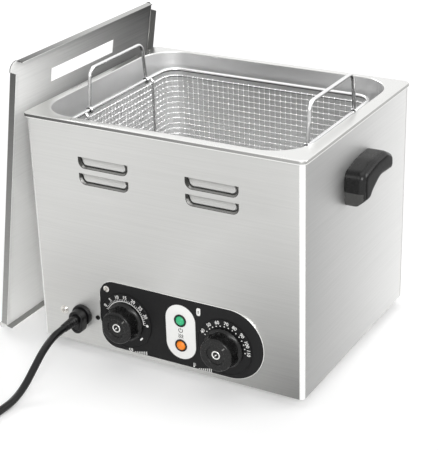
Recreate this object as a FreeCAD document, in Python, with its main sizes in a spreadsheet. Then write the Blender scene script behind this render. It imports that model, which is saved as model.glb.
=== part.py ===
# Commercial egg boiler: an open water tank in a sheet-steel casing, with a wire basket,
# a lid that leans on the left side handle, and a control panel low on the front.
# Millimetres. +X is the boiler's right, +Y its back, +Z up. The origin is at the middle
# of the floor under the boiler and its lid.
import FreeCAD
import Part
import Sketcher
import math
import os

Vector = FreeCAD.Vector
doc = FreeCAD.newDocument("EggBoiler")
sheet = doc.addObject("Spreadsheet::Sheet", "Dims")

# ---------------------------------------------------------------- driving dimensions
DRIVING = {
    # casing
    "case_w": 360.0, "case_d": 290.0, "case_h": 290.6, "foot_h": 11.4, "steel": 1.0,
    "case_bend": 6.0, "flange": 12.0,
    # tank and its rim
    "rim_out": 3.0, "rim_top": 292.0, "rim_drop": 5.0, "rim_steel": 1.2, "rim_corner": 8.0,
    "open_left": 7.5, "open_right": 346.5, "open_front": 9.5, "open_back": 286.0,
    "open_corner": 48.0, "tank_floor": 112.0, "tank_fillet": 18.0,
    # louvres
    "louvre_w": 68.0, "louvre_tall": 14.0, "louvre_deep": 3.0, "louvre_rise": 2.5,
    "louvre_taper": 3.5, "louvre_slot": 1.5, "louvre_pitch": 20.3, "louvre_low": 214.0,
    "louvre_left": 71.0, "louvre_right": 214.0,
    # radii of the holes in the casing and the panel
    "shaft_hole": 5.0, "lamp_hole": 5.5, "gland_hole": 10.2, "earth_hole": 2.7,
    "panel_hole": 2.1, "side_hole": 1.6, "rear_hole": 1.6, "grip_hole": 2.4, "foot_hole": 2.2,
    # control panel
    "panel_left": 88.5, "panel_right": 311.5, "panel_low": 5.5, "panel_top": 96.0,
    "panel_thick": 1.5, "panel_corner": 22.0,
    "label_w": 40.0, "label_low": 15.0, "label_top": 86.0, "label_thick": 0.5,
    "lamp_x": 201.7, "lamp_high": 65.8, "lamp_low": 33.0, "lamp_bezel": 8.0, "lamp_lens": 6.3,
    "timer_x": 125.0, "timer_z": 47.0, "thermo_x": 260.0, "thermo_z": 45.0,
    "dial_round": 36.0, "dial_thick": 1.4,
    # knobs
    "knob_base": 25.0, "knob_front": 19.0, "knob_out": 24.0, "knob_gap": 0.6,
    "shaft_round": 3.0, "cap_round": 5.8,
    # basket
    "basket_left": 31.0, "basket_right": 323.0, "basket_front": 24.0, "basket_back": 272.0,
    "basket_rim": 272.0, "basket_low": 136.0, "basket_corner": 22.0,
    "rim_wire": 2.5, "frame_wire": 2.0, "rib_front": 74.0, "rib_back": 222.0,
    "mesh_thick": 1.2, "mesh_bar": 2.2, "mesh_border": 8.0, "mesh_gap": 0.1,
    # basket bails
    "bail_mid": 150.0, "bail_foot": 64.0, "bail_top": 58.0, "bail_tall": 50.0,
    "bail_wire": 2.25, "bail_bend": 12.0, "eye_round": 4.8, "eye_play": 0.06, "eye_long": 4.6,
    # side handles
    "handle_front": 104.0, "handle_back": 190.0, "handle_low": 198.0, "handle_top": 247.5,
    "handle_reach": 25.8, "handle_wall": 7.0, "handle_edge": 7.5,
    # lid
    "lid_w": 306.5, "lid_tall": 366.2, "lid_steel": 1.0, "lid_skirt": 9.3, "lid_corner": 10.0,
    "lid_lean": 8.74, "lid_foot": 65.6, "lid_front": 6.8, "slot_w": 135.6, "slot_tall": 18.0,
    "slot_x": 150.6, "slot_mid": 326.3,
    # cord and gland
    "gland_x": 61.0, "gland_z": 40.0, "gland_round": 13.4, "clamp_round": 10.4,
    "clamp_drop": 10.8, "clamp_out": 17.0, "cord_wire": 4.5, "relief_out": 41.0,
    "coil_x": -6.5, "coil_y": -205.0, "coil_mid": 50.0,
    "coil_half": 14.9, "coil_tall": 18.3,
}
for row, (name, number) in enumerate(DRIVING.items(), start=1):
    sheet.set("A%d" % row, name)
    sheet.set("B%d" % row, str(number))
    sheet.setAlias("B%d" % row, name)
doc.recompute()


class Size:
    """A length that carries its number together with the sheet formula that gives it."""

    def __init__(self, number, formula):
        self.number = float(number)
        self.formula = formula

    @staticmethod
    def of(thing):
        return thing if isinstance(thing, Size) else Size(thing, repr(float(thing)))

    def __add__(self, other):
        other = Size.of(other)
        return Size(self.number + other.number, "(%s + %s)" % (self.formula, other.formula))

    def __sub__(self, other):
        other = Size.of(other)
        return Size(self.number - other.number, "(%s - %s)" % (self.formula, other.formula))

    def __mul__(self, factor):
        return Size(self.number * factor, "(%s * %r)" % (self.formula, float(factor)))

    def __neg__(self):
        return self * -1.0

    def __rsub__(self, other):
        return Size.of(other) - self

    __radd__ = __add__
    __rmul__ = __mul__


class Dimensions:
    """Gives each cell of the sheet as a Size, by its alias."""

    def __getattr__(self, alias):
        return Size(sheet.get(alias), "Dims." + alias)


dim = Dimensions()

# The casing's lower front left corner, from which all casing dimensions are taken. It is
# set so that boiler, knobs and leaning lid together are centred on the origin.
CASE_X = (dim.lid_foot - dim.case_w - dim.handle_reach) * 0.5
CASE_Y = (dim.knob_out - dim.lid_w + dim.lid_front) * 0.5
CASE_Z = dim.foot_h
CORNER = (CASE_X, CASE_Y, CASE_Z)


# ---------------------------------------------------------------- helpers
def bind(thing, prop, size):
    """Ties a property to the sheet formula of a size."""
    thing.setExpression(prop, Size.of(size).formula)


def place(thing, x, y, z):
    """Puts an object at a point given from the casing's corner."""
    for axis, size, corner in zip("xyz", (x, y, z), CORNER):
        bind(thing, "Placement.Base." + axis, corner + size)


def turn(thing, axis, degrees):
    """Turns an object about its own origin."""
    thing.Placement = FreeCAD.Placement(thing.Placement.Base, FreeCAD.Rotation(axis, degrees))


def box(name, wide, deep, tall, x, y, z):
    """A plain block whose lowest corner is at x, y, z."""
    block = doc.addObject("Part::Box", name)
    bind(block, "Length", wide)
    bind(block, "Width", deep)
    bind(block, "Height", tall)
    place(block, x, y, z)
    return block


TOWARDS = {
    "+Z": (Vector(1, 0, 0), 0),
    "-Z": (Vector(1, 0, 0), 180),
    "+Y": (Vector(1, 0, 0), -90),
    "-Y": (Vector(1, 0, 0), 90),
    "+X": (Vector(0, 1, 0), 90),
    "-X": (Vector(0, 1, 0), -90),
}


def cylinder(name, radius, length, x, y, z, towards="+Z", angle=360.0):
    """A round bar that starts at x, y, z and runs towards an axis."""
    bar = doc.addObject("Part::Cylinder", name)
    turn(bar, *TOWARDS[towards])
    bind(bar, "Radius", radius)
    bind(bar, "Height", length)
    bar.Angle = angle
    place(bar, x, y, z)
    return bar


def cone(name, first, last, length, x, y, z, towards="+Z"):
    """A round taper from its first radius to its last."""
    taper = doc.addObject("Part::Cone", name)
    turn(taper, *TOWARDS[towards])
    bind(taper, "Radius1", first)
    bind(taper, "Radius2", last)
    bind(taper, "Height", length)
    place(taper, x, y, z)
    return taper


def fuse(name, pieces):
    """One solid from overlapping pieces."""
    joined = doc.addObject("Part::MultiFuse", name)
    joined.Shapes = pieces
    joined.Refine = True
    return joined


def cut(name, base, tools):
    """The base with every tool taken out of it."""
    tool = tools[0] if len(tools) == 1 else fuse(name + "_tools", tools)
    result = doc.addObject("Part::Cut", name)
    result.Base = base
    result.Tool = tool
    result.Refine = True
    return result


def group(name, pieces):
    """Several separate solids that share one node."""
    together = doc.addObject("Part::Compound", name)
    together.Links = pieces
    return together


def soften(name, base, radius, test):
    """Rounds the edges of a Part object that pass a test."""
    doc.recompute()
    rounded = doc.addObject("Part::Fillet", name)
    rounded.Base = base
    picked = [i + 1 for i, edge in enumerate(base.Shape.Edges) if test(edge)]
    rounded.Edges = [(i, radius, radius) for i in picked]
    return rounded


def new_body(name):
    """A body whose own frame is the casing's corner."""
    body = doc.addObject("PartDesign::Body", name)
    place(body, 0, 0, 0)
    return body


PLANES = {"XY": "XY_Plane", "XZ": "XZ_Plane", "YZ": "YZ_Plane"}


def new_sketch(body, name, plane, offset=0):
    """A sketch on one of the body's own planes, offset along that plane's normal."""
    sketch = body.newObject("Sketcher::SketchObject", name)
    support = [f for f in body.Origin.OriginFeatures if f.Role == PLANES[plane]][0]
    sketch.AttachmentSupport = (support, [""])
    sketch.MapMode = "FlatFace"
    bind(sketch, "AttachmentOffset.Base.z", offset)
    return sketch


def pin(sketch, geometry, end, x, y):
    """Fixes a point of the sketch from the sketch's origin."""
    for kind, size in (("DistanceX", Size.of(x)), ("DistanceY", Size.of(y))):
        number = sketch.addConstraint(
            Sketcher.Constraint(kind, -1, 1, geometry, end, size.number))
        bind(sketch, "Constraints[%d]" % number, size)


def polygon(sketch, points):
    """A closed outline of straight lines through points (x, y)."""
    points = [(Size.of(x), Size.of(y)) for x, y in points]
    places = [Vector(x.number, y.number, 0) for x, y in points]
    first = sketch.GeometryCount
    count = len(points)
    for i in range(count):
        sketch.addGeometry(Part.LineSegment(places[i], places[(i + 1) % count]), False)
    for i in range(count):
        following = first + (i + 1) % count
        sketch.addConstraint(Sketcher.Constraint("Coincident", first + i, 2, following, 1))
        pin(sketch, first + i, 1, *points[i])


def rectangle(sketch, left, low, right, high):
    """A rectangle given by its four sides."""
    polygon(sketch, [(left, low), (right, low), (right, high), (left, high)])


def circle(sketch, x, y, radius):
    """A circle with its centre and radius fixed."""
    x, y, radius = Size.of(x), Size.of(y), Size.of(radius)
    middle = Vector(x.number, y.number, 0)
    number = sketch.addGeometry(Part.Circle(middle, Vector(0, 0, 1), radius.number), False)
    pin(sketch, number, 3, x, y)
    rule = sketch.addConstraint(Sketcher.Constraint("Radius", number, radius.number))
    bind(sketch, "Constraints[%d]" % rule, radius)


def pad(body, name, sketch, length, reverse=False):
    """Adds material along the sketch's normal, or against it when reversed."""
    feature = body.newObject("PartDesign::Pad", name)
    feature.Profile = sketch
    bind(feature, "Length", length)
    feature.Reversed = reverse
    body.Tip = feature
    doc.recompute()
    return feature


def pocket(body, name, sketch, length=None, reverse=False):
    """Takes material against the sketch's normal, right through when no length is given."""
    before = body.Shape.Volume
    feature = body.newObject("PartDesign::Pocket", name)
    feature.Profile = sketch
    feature.Reversed = reverse
    if length is None:
        feature.Type = "ThroughAll"
    else:
        bind(feature, "Length", length)
    body.Tip = feature
    doc.recompute()
    if not body.Shape.Volume < before - 1e-6:
        raise RuntimeError("pocket %s takes nothing away" % name)
    return feature


def repeat(body, name, feature, sketch, length, count):
    """Repeats a feature in a row along its sketch's horizontal, length from first to last."""
    row = body.newObject("PartDesign::LinearPattern", name)
    row.Originals = [feature]
    row.Direction = (sketch, ["H_Axis"])
    bind(row, "Length", length)
    row.Occurrences = count
    body.Tip = row
    doc.recompute()


def fillet(body, name, radius, test):
    """Rounds the edges of the body's last feature that pass a test."""
    base = body.Tip
    names = ["Edge%d" % (i + 1) for i, edge in enumerate(base.Shape.Edges) if test(edge)]
    if not names:
        raise RuntimeError("fillet %s finds no edge" % name)
    feature = body.newObject("PartDesign::Fillet", name)
    feature.Base = (base, names)
    bind(feature, "Radius", radius)
    body.Tip = feature
    doc.recompute()
    return feature


def along(edge, axis):
    """Whether an edge is a straight line along the axis with this index."""
    if not isinstance(edge.Curve, Part.Line):
        return False
    return abs(abs(edge.tangentAt(edge.FirstParameter)[axis]) - 1.0) < 1e-6


def flat_at(edge, axis, level, slack=0.01):
    """Whether an edge lies wholly at one level of an axis."""
    bounds = edge.BoundBox
    low = (bounds.XMin, bounds.YMin, bounds.ZMin)[axis]
    high = (bounds.XMax, bounds.YMax, bounds.ZMax)[axis]
    return abs(low - level) < slack and abs(high - level) < slack


def middle(edge):
    """The middle of an edge's box."""
    return edge.BoundBox.Center


def case_point(x, y, z):
    """A point of the casing frame, in the part's own frame."""
    return Vector(*[(Size.of(a) + c).number for a, c in zip((x, y, z), CORNER)])


def rounded_wire(points, share=0.45, bend=None, closed=False, quiet=True):
    """Straight runs joined by tangent arcs. Each arc's radius is a fixed bend, or the
    given share of the shorter run beside it divided by the tangent of half the turn."""
    count = len(points)
    corners = range(count) if closed else range(1, count - 1)
    starts, ends, arcs, radii = {}, {}, {}, []
    for i in corners:
        here, back, ahead = points[i], points[i - 1], points[(i + 1) % count]
        inward = (back - here).normalize()
        outward = (ahead - here).normalize()
        turned = math.pi - inward.getAngle(outward)
        shorter = min((back - here).Length, (ahead - here).Length)
        setback = bend * math.tan(turned / 2) if bend else share * shorter
        radius = setback / math.tan(turned / 2)
        starts[i] = here + inward * setback
        ends[i] = here + outward * setback
        bisector = (inward + outward).normalize()
        rise = radius / math.cos(turned / 2) - radius
        arcs[i] = Part.Arc(starts[i], here + bisector * rise, ends[i])
        radii.append(radius)
    edges = []
    for i in range(count if closed else count - 1):
        after = (i + 1) % count
        first = ends.get(i, points[i])
        last = starts.get(after, points[after])
        if (last - first).Length > 1e-6:
            edges.append(Part.LineSegment(first, last).toShape())
        if after in arcs:
            edges.append(arcs[after].toShape())
    if not quiet:
        print("arc radii", [round(radius, 1) for radius in radii])
    return Part.Wire(Part.__sortEdges__(edges))


def tube_shape(wire, radius):
    """A round bar along a wire that starts square to its first edge."""
    edge = wire.OrderedEdges[0]
    start = edge.valueAt(edge.FirstParameter)
    ring = Part.Wire(Part.Circle(start, edge.tangentAt(edge.FirstParameter), radius).toShape())
    bar = wire.makePipeShell([ring], True, False)
    expected = math.pi * radius ** 2 * wire.Length
    if abs(bar.Volume - expected) > 0.01 * expected:
        raise RuntimeError("tube volume %.1f, expected %.1f" % (bar.Volume, expected))
    return bar


def feature_of(name, shape):
    """Keeps a worked-out shape as a document object."""
    kept = doc.addObject("Part::Feature", name)
    kept.Shape = shape
    kept.Placement = FreeCAD.Placement()
    return kept


def tube(name, points, radius, bend=None, closed=False):
    """A bent bar through points of the casing frame."""
    path = rounded_wire([case_point(*p) for p in points], bend=bend, closed=closed)
    return feature_of(name, tube_shape(path, Size.of(radius).number))


def ring(name, left, front, right, back, level, wire, bend):
    """A rounded rectangle of wire, closed on itself."""
    corners = [(right, front, level), (right, back, level), (left, back, level),
               (left, front, level)]
    path = rounded_wire([case_point(*p) for p in corners], bend=bend, closed=True)
    straight = [e for e in path.Edges if isinstance(e.Curve, Part.Line)][0]
    others = [e for e in path.Edges if not e.isSame(straight)]
    path = Part.Wire(Part.__sortEdges__([straight] + others))
    return feature_of(name, tube_shape(path, Size.of(wire).number))


NODES = []


def node(thing, name):
    """Labels a finished sub-part with its node's name."""
    thing.Label = name
    NODES.append(thing)
    return thing


# ---------------------------------------------------------------- casing
def casing_wrap():
    """Front and both sides bent from one sheet, with four louvres pressed into it."""
    body = new_body("CasingWrap")
    inside = dim.steel
    back = dim.case_d - dim.steel
    outline = new_sketch(body, "WrapOutline", "XY")
    rectangle(outline, 0, 0, dim.case_w, back)
    pad(body, "WrapPad", outline, dim.case_h)
    hollow = new_sketch(body, "WrapHollow", "XY", dim.case_h)
    rectangle(hollow, inside, inside, dim.case_w - inside, back - inside)
    pocket(body, "WrapInside", hollow)
    fillet(body, "WrapInnerBends", dim.case_bend - inside,
           lambda e: along(e, 2) and flat_at(e, 1, inside.number))
    fillet(body, "WrapBends", dim.case_bend,
           lambda e: along(e, 2) and flat_at(e, 1, 0))
    doorway = new_sketch(body, "WrapRearOpening", "XZ", -(back + 1))
    rectangle(doorway, dim.flange, -1, dim.case_w - dim.flange, dim.case_h + 1)
    pocket(body, "WrapRear", doorway, dim.steel + 3, reverse=True)
    places = [(left, dim.louvre_low + dim.louvre_pitch * level)
              for left in (dim.louvre_left, dim.louvre_right) for level in range(2)]
    for number, (left, low) in enumerate(places):
        louvre(body, "%d" % number, left, low)
    slots = new_sketch(body, "LouvreSlots", "XZ")
    for left, low in places:
        foot = low + dim.louvre_rise
        rectangle(slots, left + dim.louvre_taper, foot,
                  left + dim.louvre_w - dim.louvre_taper, foot + dim.louvre_slot)
    pocket(body, "LouvreSlotsCut", slots, dim.louvre_deep + dim.steel + 1)
    holes = new_sketch(body, "FrontHoles", "XZ")
    control_holes(holes)
    circle(holes, dim.gland_x, dim.gland_z, dim.gland_hole)
    circle(holes, EARTH_SCREW[0], EARTH_SCREW[1], dim.earth_hole)
    circle(holes, SIDE_SCREW[0], SIDE_SCREW[1], dim.side_hole)
    pocket(body, "FrontHolesCut", holes, dim.steel + 1)
    side_holes = new_sketch(body, "HandleHoles", "YZ")
    for y, z in HANDLE_SCREWS:
        circle(side_holes, y, z, dim.grip_hole)
    pocket(body, "HandleHolesCut", side_holes, reverse=True)
    rear_holes = new_sketch(body, "FlangeHoles", "XZ", -(back + 1))
    for x, z in REAR_SCREWS:
        circle(rear_holes, x, z, dim.rear_hole)
    pocket(body, "FlangeHolesCut", rear_holes, dim.steel + 3, reverse=True)
    node(body, "casing_wrap")


# Screw places: x and z on the front and the back, y and z on the sides.
PANEL_SCREWS = ((100.0, 84.5), (227.0, 83.3))
EARTH_SCREW = (33.6, 40.2)
SIDE_SCREW = (83.5, 40.8)
HANDLE_SCREWS = ((109.5, 226.0), (185.5, 232.0))
REAR_SCREWS = tuple((x, z) for x in (6.0, 354.0) for z in (20.0, 145.0, 270.0))


def control_holes(sketch):
    """The holes that the casing and the panel share: two shafts, two lamps, two screws."""
    for x, z in ((dim.timer_x, dim.timer_z), (dim.thermo_x, dim.thermo_z)):
        circle(sketch, x, z, dim.shaft_hole)
    for z in (dim.lamp_high, dim.lamp_low):
        circle(sketch, dim.lamp_x, z, dim.lamp_hole)
    for x, z in PANEL_SCREWS:
        circle(sketch, x, z, dim.panel_hole)


def louvre(body, tag, left, low):
    """A recess pressed inwards: it slopes in from a fold at its top and from its other three
    sides to a narrow line, where the air slot is cut."""
    skin, half = dim.steel, dim.steel * 0.5
    foot = low + dim.louvre_rise
    right = left + dim.louvre_w
    for kind, name, more, start, end in (
            ("AdditiveWedge", "LouvreSkin", half, half, dim.louvre_deep + skin),
            ("SubtractiveWedge", "LouvreRecess", Size.of(0), Size.of(-0.01), dim.louvre_deep)):
        wedge = body.newObject("PartDesign::" + kind, name + tag)
        sizes = {"Xmin": left - more, "Xmax": right + more,
                 "Zmin": low - more, "Zmax": low + dim.louvre_tall,
                 "X2min": left + dim.louvre_taper - more,
                 "X2max": right - dim.louvre_taper + more,
                 "Z2min": foot - more, "Z2max": foot + dim.louvre_slot + more,
                 "Ymin": start, "Ymax": end}
        for prop, size in sizes.items():
            bind(wedge, prop, size)
        body.Tip = wedge
        doc.recompute()


def base_plate():
    """The floor of the casing, with turned-up edges and rows of cooling slots."""
    body = new_body("BasePlate")
    gap = dim.steel + 0.2
    back = dim.case_d - dim.steel * 2 - 0.2
    plan = new_sketch(body, "BasePlan", "XY")
    rectangle(plan, gap, gap, dim.case_w - gap, back)
    pad(body, "BasePad", plan, 11)
    tray = new_sketch(body, "BaseTray", "XY", 11)
    rectangle(tray, gap + 1, gap + 1, dim.case_w - gap - 1, back - 1)
    pocket(body, "BaseTrayCut", tray, 10)
    fillet(body, "TrayCorners", dim.case_bend - dim.steel * 2,
           lambda e: along(e, 2) and middle(e).y < 10 and e.BoundBox.ZMin > 0.5)
    fillet(body, "BaseCorners", dim.case_bend - dim.steel,
           lambda e: along(e, 2) and middle(e).y < 10 and e.BoundBox.ZMin < 0.5)
    slots = new_sketch(body, "BaseSlots", "XY", 1)
    for row in range(2):
        rectangle(slots, 120, 150 + 60 * row, 124, 185 + 60 * row)
    vents = pocket(body, "BaseSlotsCut", slots, 2)
    repeat(body, "BaseSlotRows", vents, slots, 120, 11)
    screws = new_sketch(body, "FootHoles", "XY", 1)
    for x, y in FEET:
        circle(screws, x, y, dim.foot_hole)
    pocket(body, "FootHolesCut", screws, 2)
    node(body, "base_plate")


FEET = tuple((x, y) for x in (32.0, 328.0) for y in (36.0, 254.0))


def back_panel():
    """The flat rear sheet, with cooling slots and six screw holes."""
    body = new_body("BackPanel")
    face = new_sketch(body, "BackFace", "XZ", -dim.case_d)
    rectangle(face, 0.3, 0, dim.case_w - 0.3, dim.case_h - 0.2)
    pad(body, "BackPad", face, dim.steel - 0.1)
    slots = new_sketch(body, "BackSlots", "XZ", -dim.case_d)
    for row in range(2):
        rectangle(slots, 110, 40 + 22 * row, 114, 56 + 22 * row)
    vents = pocket(body, "BackSlotsCut", slots, reverse=True)
    repeat(body, "BackSlotRows", vents, slots, 136, 18)
    holes = new_sketch(body, "BackHoles", "XZ", -dim.case_d)
    for x, z in REAR_SCREWS:
        circle(holes, x, z, dim.rear_hole)
    pocket(body, "BackHolesCut", holes, reverse=True)
    node(body, "back_panel")


def back_screws():
    """Six pan-head screws that hold the back panel to the wrap's returns."""
    screws = []
    for number, (x, z) in enumerate(REAR_SCREWS):
        head = cylinder("BackHead%d" % number, 3, 1.8, x, dim.case_d, z, "+Y")
        shank = cylinder("BackShank%d" % number, 1.5, 8, x, dim.case_d, z, "-Y")
        screws.append(fuse("BackScrew%d" % number, [head, shank]))
    node(group("BackScrews", screws), "back_panel_screws")


def feet():
    """Four tapered rubber feet, each held by a screw up through the base plate."""
    rubbers, screws = [], []
    for number, (x, y) in enumerate(FEET):
        block = cone("FootCone%d" % number, 12, 14, dim.foot_h, x, y, -dim.foot_h)
        recess = cylinder("FootRecess%d" % number, 5, 3, x, y, -dim.foot_h)
        bore = cylinder("FootBore%d" % number, 2, dim.foot_h, x, y, -dim.foot_h)
        rubbers.append(cut("Foot%d" % number, block, [recess, bore]))
        head = cylinder("FootHead%d" % number, 4, 2, x, y, 1 - dim.foot_h)
        shank = cylinder("FootShank%d" % number, 1.95, 14, x, y, 2 - dim.foot_h)
        nut = cylinder("FootNut%d" % number, 3.6, 3, x, y, 1.2)
        screws.append(fuse("FootScrew%d" % number, [head, shank, nut]))
    node(group("Feet", rubbers), "rubber_feet")
    node(group("FootScrews", screws), "foot_screws")


# ---------------------------------------------------------------- tank and heating
def tank():
    """A deep-drawn tank whose rim turns out over the casing and down around it."""
    body = new_body("Tank")
    wall, rim = dim.rim_steel, dim.rim_out
    top = dim.rim_top
    flange = new_sketch(body, "RimOutline", "XY", top - dim.rim_drop)
    rectangle(flange, -rim, -rim, dim.case_w + rim, dim.case_d + rim)
    pad(body, "RimPad", flange, dim.rim_drop)
    under = new_sketch(body, "RimUnderside", "XY", top - dim.rim_drop)
    rectangle(under, wall - rim, wall - rim, dim.case_w + rim - wall, dim.case_d + rim - wall)
    pocket(body, "RimUnderCut", under, dim.rim_drop - wall, reverse=True)
    ledge = (top - wall).number
    fillet(body, "RimInnerCorners", dim.rim_corner - wall,
           lambda e: along(e, 2) and abs(e.BoundBox.ZMax - ledge) < 0.01)
    fillet(body, "RimCorners", dim.rim_corner,
           lambda e: along(e, 2) and abs(e.BoundBox.ZMax - top.number) < 0.01)
    fillet(body, "RimRoll", 2.0, lambda e: flat_at(e, 2, top.number))
    shell = new_sketch(body, "TankOutline", "XY", dim.tank_floor)
    rectangle(shell, dim.open_left - wall, dim.open_front - wall,
              dim.open_right + wall, dim.open_back + wall)
    pad(body, "TankPad", shell, top - wall * 0.5 - dim.tank_floor)
    inner = new_sketch(body, "TankInside", "XY", top)
    rectangle(inner, dim.open_left, dim.open_front, dim.open_right, dim.open_back)
    pocket(body, "TankHollow", inner, top - dim.tank_floor - wall)
    floor = dim.tank_floor.number
    inner_floor = floor + wall.number
    fillet(body, "TankInnerCorners", dim.open_corner,
           lambda e: along(e, 2) and abs(e.BoundBox.ZMin - inner_floor) < 0.01)
    fillet(body, "TankInnerFoot", dim.tank_fillet,
           lambda e: flat_at(e, 2, inner_floor))
    fillet(body, "TankCorners", dim.open_corner + wall,
           lambda e: along(e, 2) and abs(e.BoundBox.ZMin - floor) < 0.01)
    fillet(body, "TankFoot", dim.tank_fillet + wall,
           lambda e: flat_at(e, 2, floor))
    fillet(body, "RimInnerRoll", wall * 0.8,
           lambda e: flat_at(e, 2, top.number) and 0 < middle(e).x < dim.case_w.number
           and e.BoundBox.XMin > dim.open_left.number - 0.1
           and e.BoundBox.XMax < dim.open_right.number + 0.1)
    holes = new_sketch(body, "ElementHoles", "XY", dim.tank_floor + wall)
    for x in ELEMENT_LEGS:
        circle(holes, x, ELEMENT_Y, 5.2)
    circle(holes, BULB[0], BULB[1], 4.2)
    pocket(body, "ElementHolesCut", holes)
    node(body, "tank")


ELEMENT_LEGS = (165.0, 195.0)
ELEMENT_Y = 100.0
ELEMENT_LEVEL = 126.0
BULB = (216.5, 82.0)


def tank_clips():
    """Four clips that centre the tank's wall in the casing."""
    clips = []
    reach = dim.open_front - dim.rim_steel - dim.steel
    for x in (110, 230):
        clips.append(box("ClipFront%d" % x, 30, reach, 10, x, dim.steel, 262))
        back_gap = dim.case_d - dim.steel * 2 - dim.open_back - dim.rim_steel
        clips.append(box("ClipBack%d" % x, 30, back_gap, 10, x,
                         dim.open_back + dim.rim_steel, 262))
    node(group("TankClips", clips), "tank_clips")


def heating_element():
    """A steel tube bent back and forth over the tank's floor, with both ends going down."""
    level = ELEMENT_LEVEL
    half = [(165, ELEMENT_Y, 90), (165, ELEMENT_Y, level), (165, 232, level),
            (122, 232, level), (122, 62, level), (74, 62, level), (74, 250, level)]
    mirrored = [(360 - x, y, z) for x, y, z in reversed(half)]
    pins = [cylinder("ElementPin%d" % x, 1.5, 16, x, ELEMENT_Y, 75.9) for x in ELEMENT_LEGS]
    sheath = tube("ElementSheath", half + mirrored, 4, bend=11)
    node(fuse("HeatingElement", [sheath] + pins), "heating_element")


def tank_glands():
    """Hexagonal gland nuts of the element and the capillary's seal, under the tank."""
    glands = []
    for x in ELEMENT_LEGS:
        tag = "%d" % x
        hexagon = doc.addObject("Part::Prism", "GlandHex" + tag)
        hexagon.Polygon = 6
        hexagon.Circumradius = 9.5
        hexagon.Height = 7
        place(hexagon, x, ELEMENT_Y, dim.tank_floor - 7.1)
        bore = cylinder("GlandBore" + tag, 4.1, 12, x, ELEMENT_Y, dim.tank_floor - 9)
        glands.append(cut("ElementNut" + tag, hexagon, [bore]))
    x, y = BULB
    seal = cylinder("SealRing", 6, 3, x, y, dim.tank_floor - 3)
    neck = cylinder("SealNeck", 4.1, 3, x, y, dim.tank_floor - 1)
    bore = cylinder("SealBore", 1.25, 8, x, y, dim.tank_floor - 4)
    glands.append(cut("CapillarySeal", fuse("SealBlock", [seal, neck]), [bore]))
    node(group("TankGlands", glands), "tank_glands")


def element_guard():
    """A perforated plate on two folded legs that keeps the basket off the element."""
    top = dim.basket_low - dim.frame_wire - 0.3
    body = new_body("ElementGuard")
    deck = new_sketch(body, "GuardDeck", "XY", top - 1)
    rectangle(deck, 27, 30, 327, 266)
    pad(body, "GuardDeckPad", deck, 1)
    legs = new_sketch(body, "GuardLegs", "XY", top - 1)
    rectangle(legs, 27, 52, 28, 244)
    rectangle(legs, 326, 52, 327, 244)
    pad(body, "GuardLegsPad", legs, top - 1 - dim.tank_floor - dim.rim_steel - 0.1, reverse=True)
    holes = new_sketch(body, "GuardHoles", "XY", top)
    for row in range(6):
        circle(holes, 72, 60 + 35 * row, 7)
    drilled = pocket(body, "GuardHolesCut", holes, 2)
    repeat(body, "GuardColumns", drilled, holes, 210, 7)
    node(body, "element_guard")


def thermostat_parts():
    """Thermostat housing, its bulb in the tank, the capillary and the bulb's clips."""
    x, z = dim.thermo_x, dim.thermo_z
    case = box("ThermostatCase", 44, 30, 40, x - 22, dim.steel + 3, z - 20)
    nose = cylinder("ThermostatNose", 4.6, 3, x, dim.steel, z, "+Y")
    bore = cylinder("ThermostatBore", 3.1, 20, x, dim.steel - 1, z, "+Y")
    node(cut("ThermostatBody", fuse("ThermostatBlock", [case, nose]), [bore]),
         "thermostat_body")
    bulb_x, bulb_y = BULB
    bulb_z = 119
    node(cylinder("Bulb", 3, 90, bulb_x, bulb_y + 26, bulb_z, "+Y"), "thermostat_bulb")
    route = [(x + 2, 34.2, 60), (x + 2, 50, 60), (bulb_x, bulb_y, 70),
             (bulb_x, bulb_y, bulb_z), (bulb_x, bulb_y + 26, bulb_z)]
    node(tube("Capillary", route, 1.2, bend=4.5), "thermostat_capillary")
    clips = []
    for y in (bulb_y + 50, bulb_y + 90):
        block = box("BulbClip%d" % y, 10, 6, 9, bulb_x - 5, y, dim.tank_floor + dim.rim_steel)
        seat = cylinder("BulbSeat%d" % y, 3.05, 8, bulb_x, y - 1, bulb_z, "+Y")
        clips.append(cut("BulbHolder%d" % y, block, [seat]))
    node(group("BulbClips", clips), "bulb_clips")


def timer_body():
    """Spring-wound timer behind the front wall."""
    x, z = dim.timer_x, dim.timer_z
    case = box("TimerCase", 46, 38, 46, x - 23, dim.steel + 3, z - 23)
    nose = cylinder("TimerNose", 4.6, 3, x, dim.steel, z, "+Y")
    bore = cylinder("TimerBore", 3.1, 24, x, dim.steel - 1, z, "+Y")
    node(cut("TimerBody", fuse("TimerBlock", [case, nose]), [bore]), "timer_body")


def small_electrics():
    """Thermal cut-out under the tank, mains terminal block and the wires between them."""
    disc = cylinder("CutoutDisc", 9, 6, 180, 160, dim.tank_floor - 6.1)
    plate = box("CutoutPlate", 30, 12, 1, 165, 154, dim.tank_floor - 1.1)
    node(fuse("Cutout", [disc, plate]), "thermal_cutout")
    block = box("TerminalBlock", 60, 22, 18, 40, 92, 1.1)
    ways = [cylinder("TerminalWay%d" % i, 3, 12, 50 + 20 * i, 103, 10) for i in range(3)]
    node(cut("Terminals", block, ways), "terminal_block")
    wires = []
    routes = ([(50, 116, 12), (50, 140, 12), (165, 140, 40), (165, 100, 60), (165, 100, 75)],
              [(70, 116, 8), (70, 132, 8), (195, 132, 34), (195, 100, 56), (195, 100, 75)],
              [(90, 90, 10), (90, 76, 10), (118, 62, 26), (118, 43, 34)],
              [(110, 43, 58), (110, 66, 70), (185, 74, 78), (201.7, 40, 72)])
    for number, route in enumerate(routes):
        wires.append(tube("Wire%d" % number, route, 1.6, bend=6))
    node(group("Wires", wires), "internal_wiring")


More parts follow.
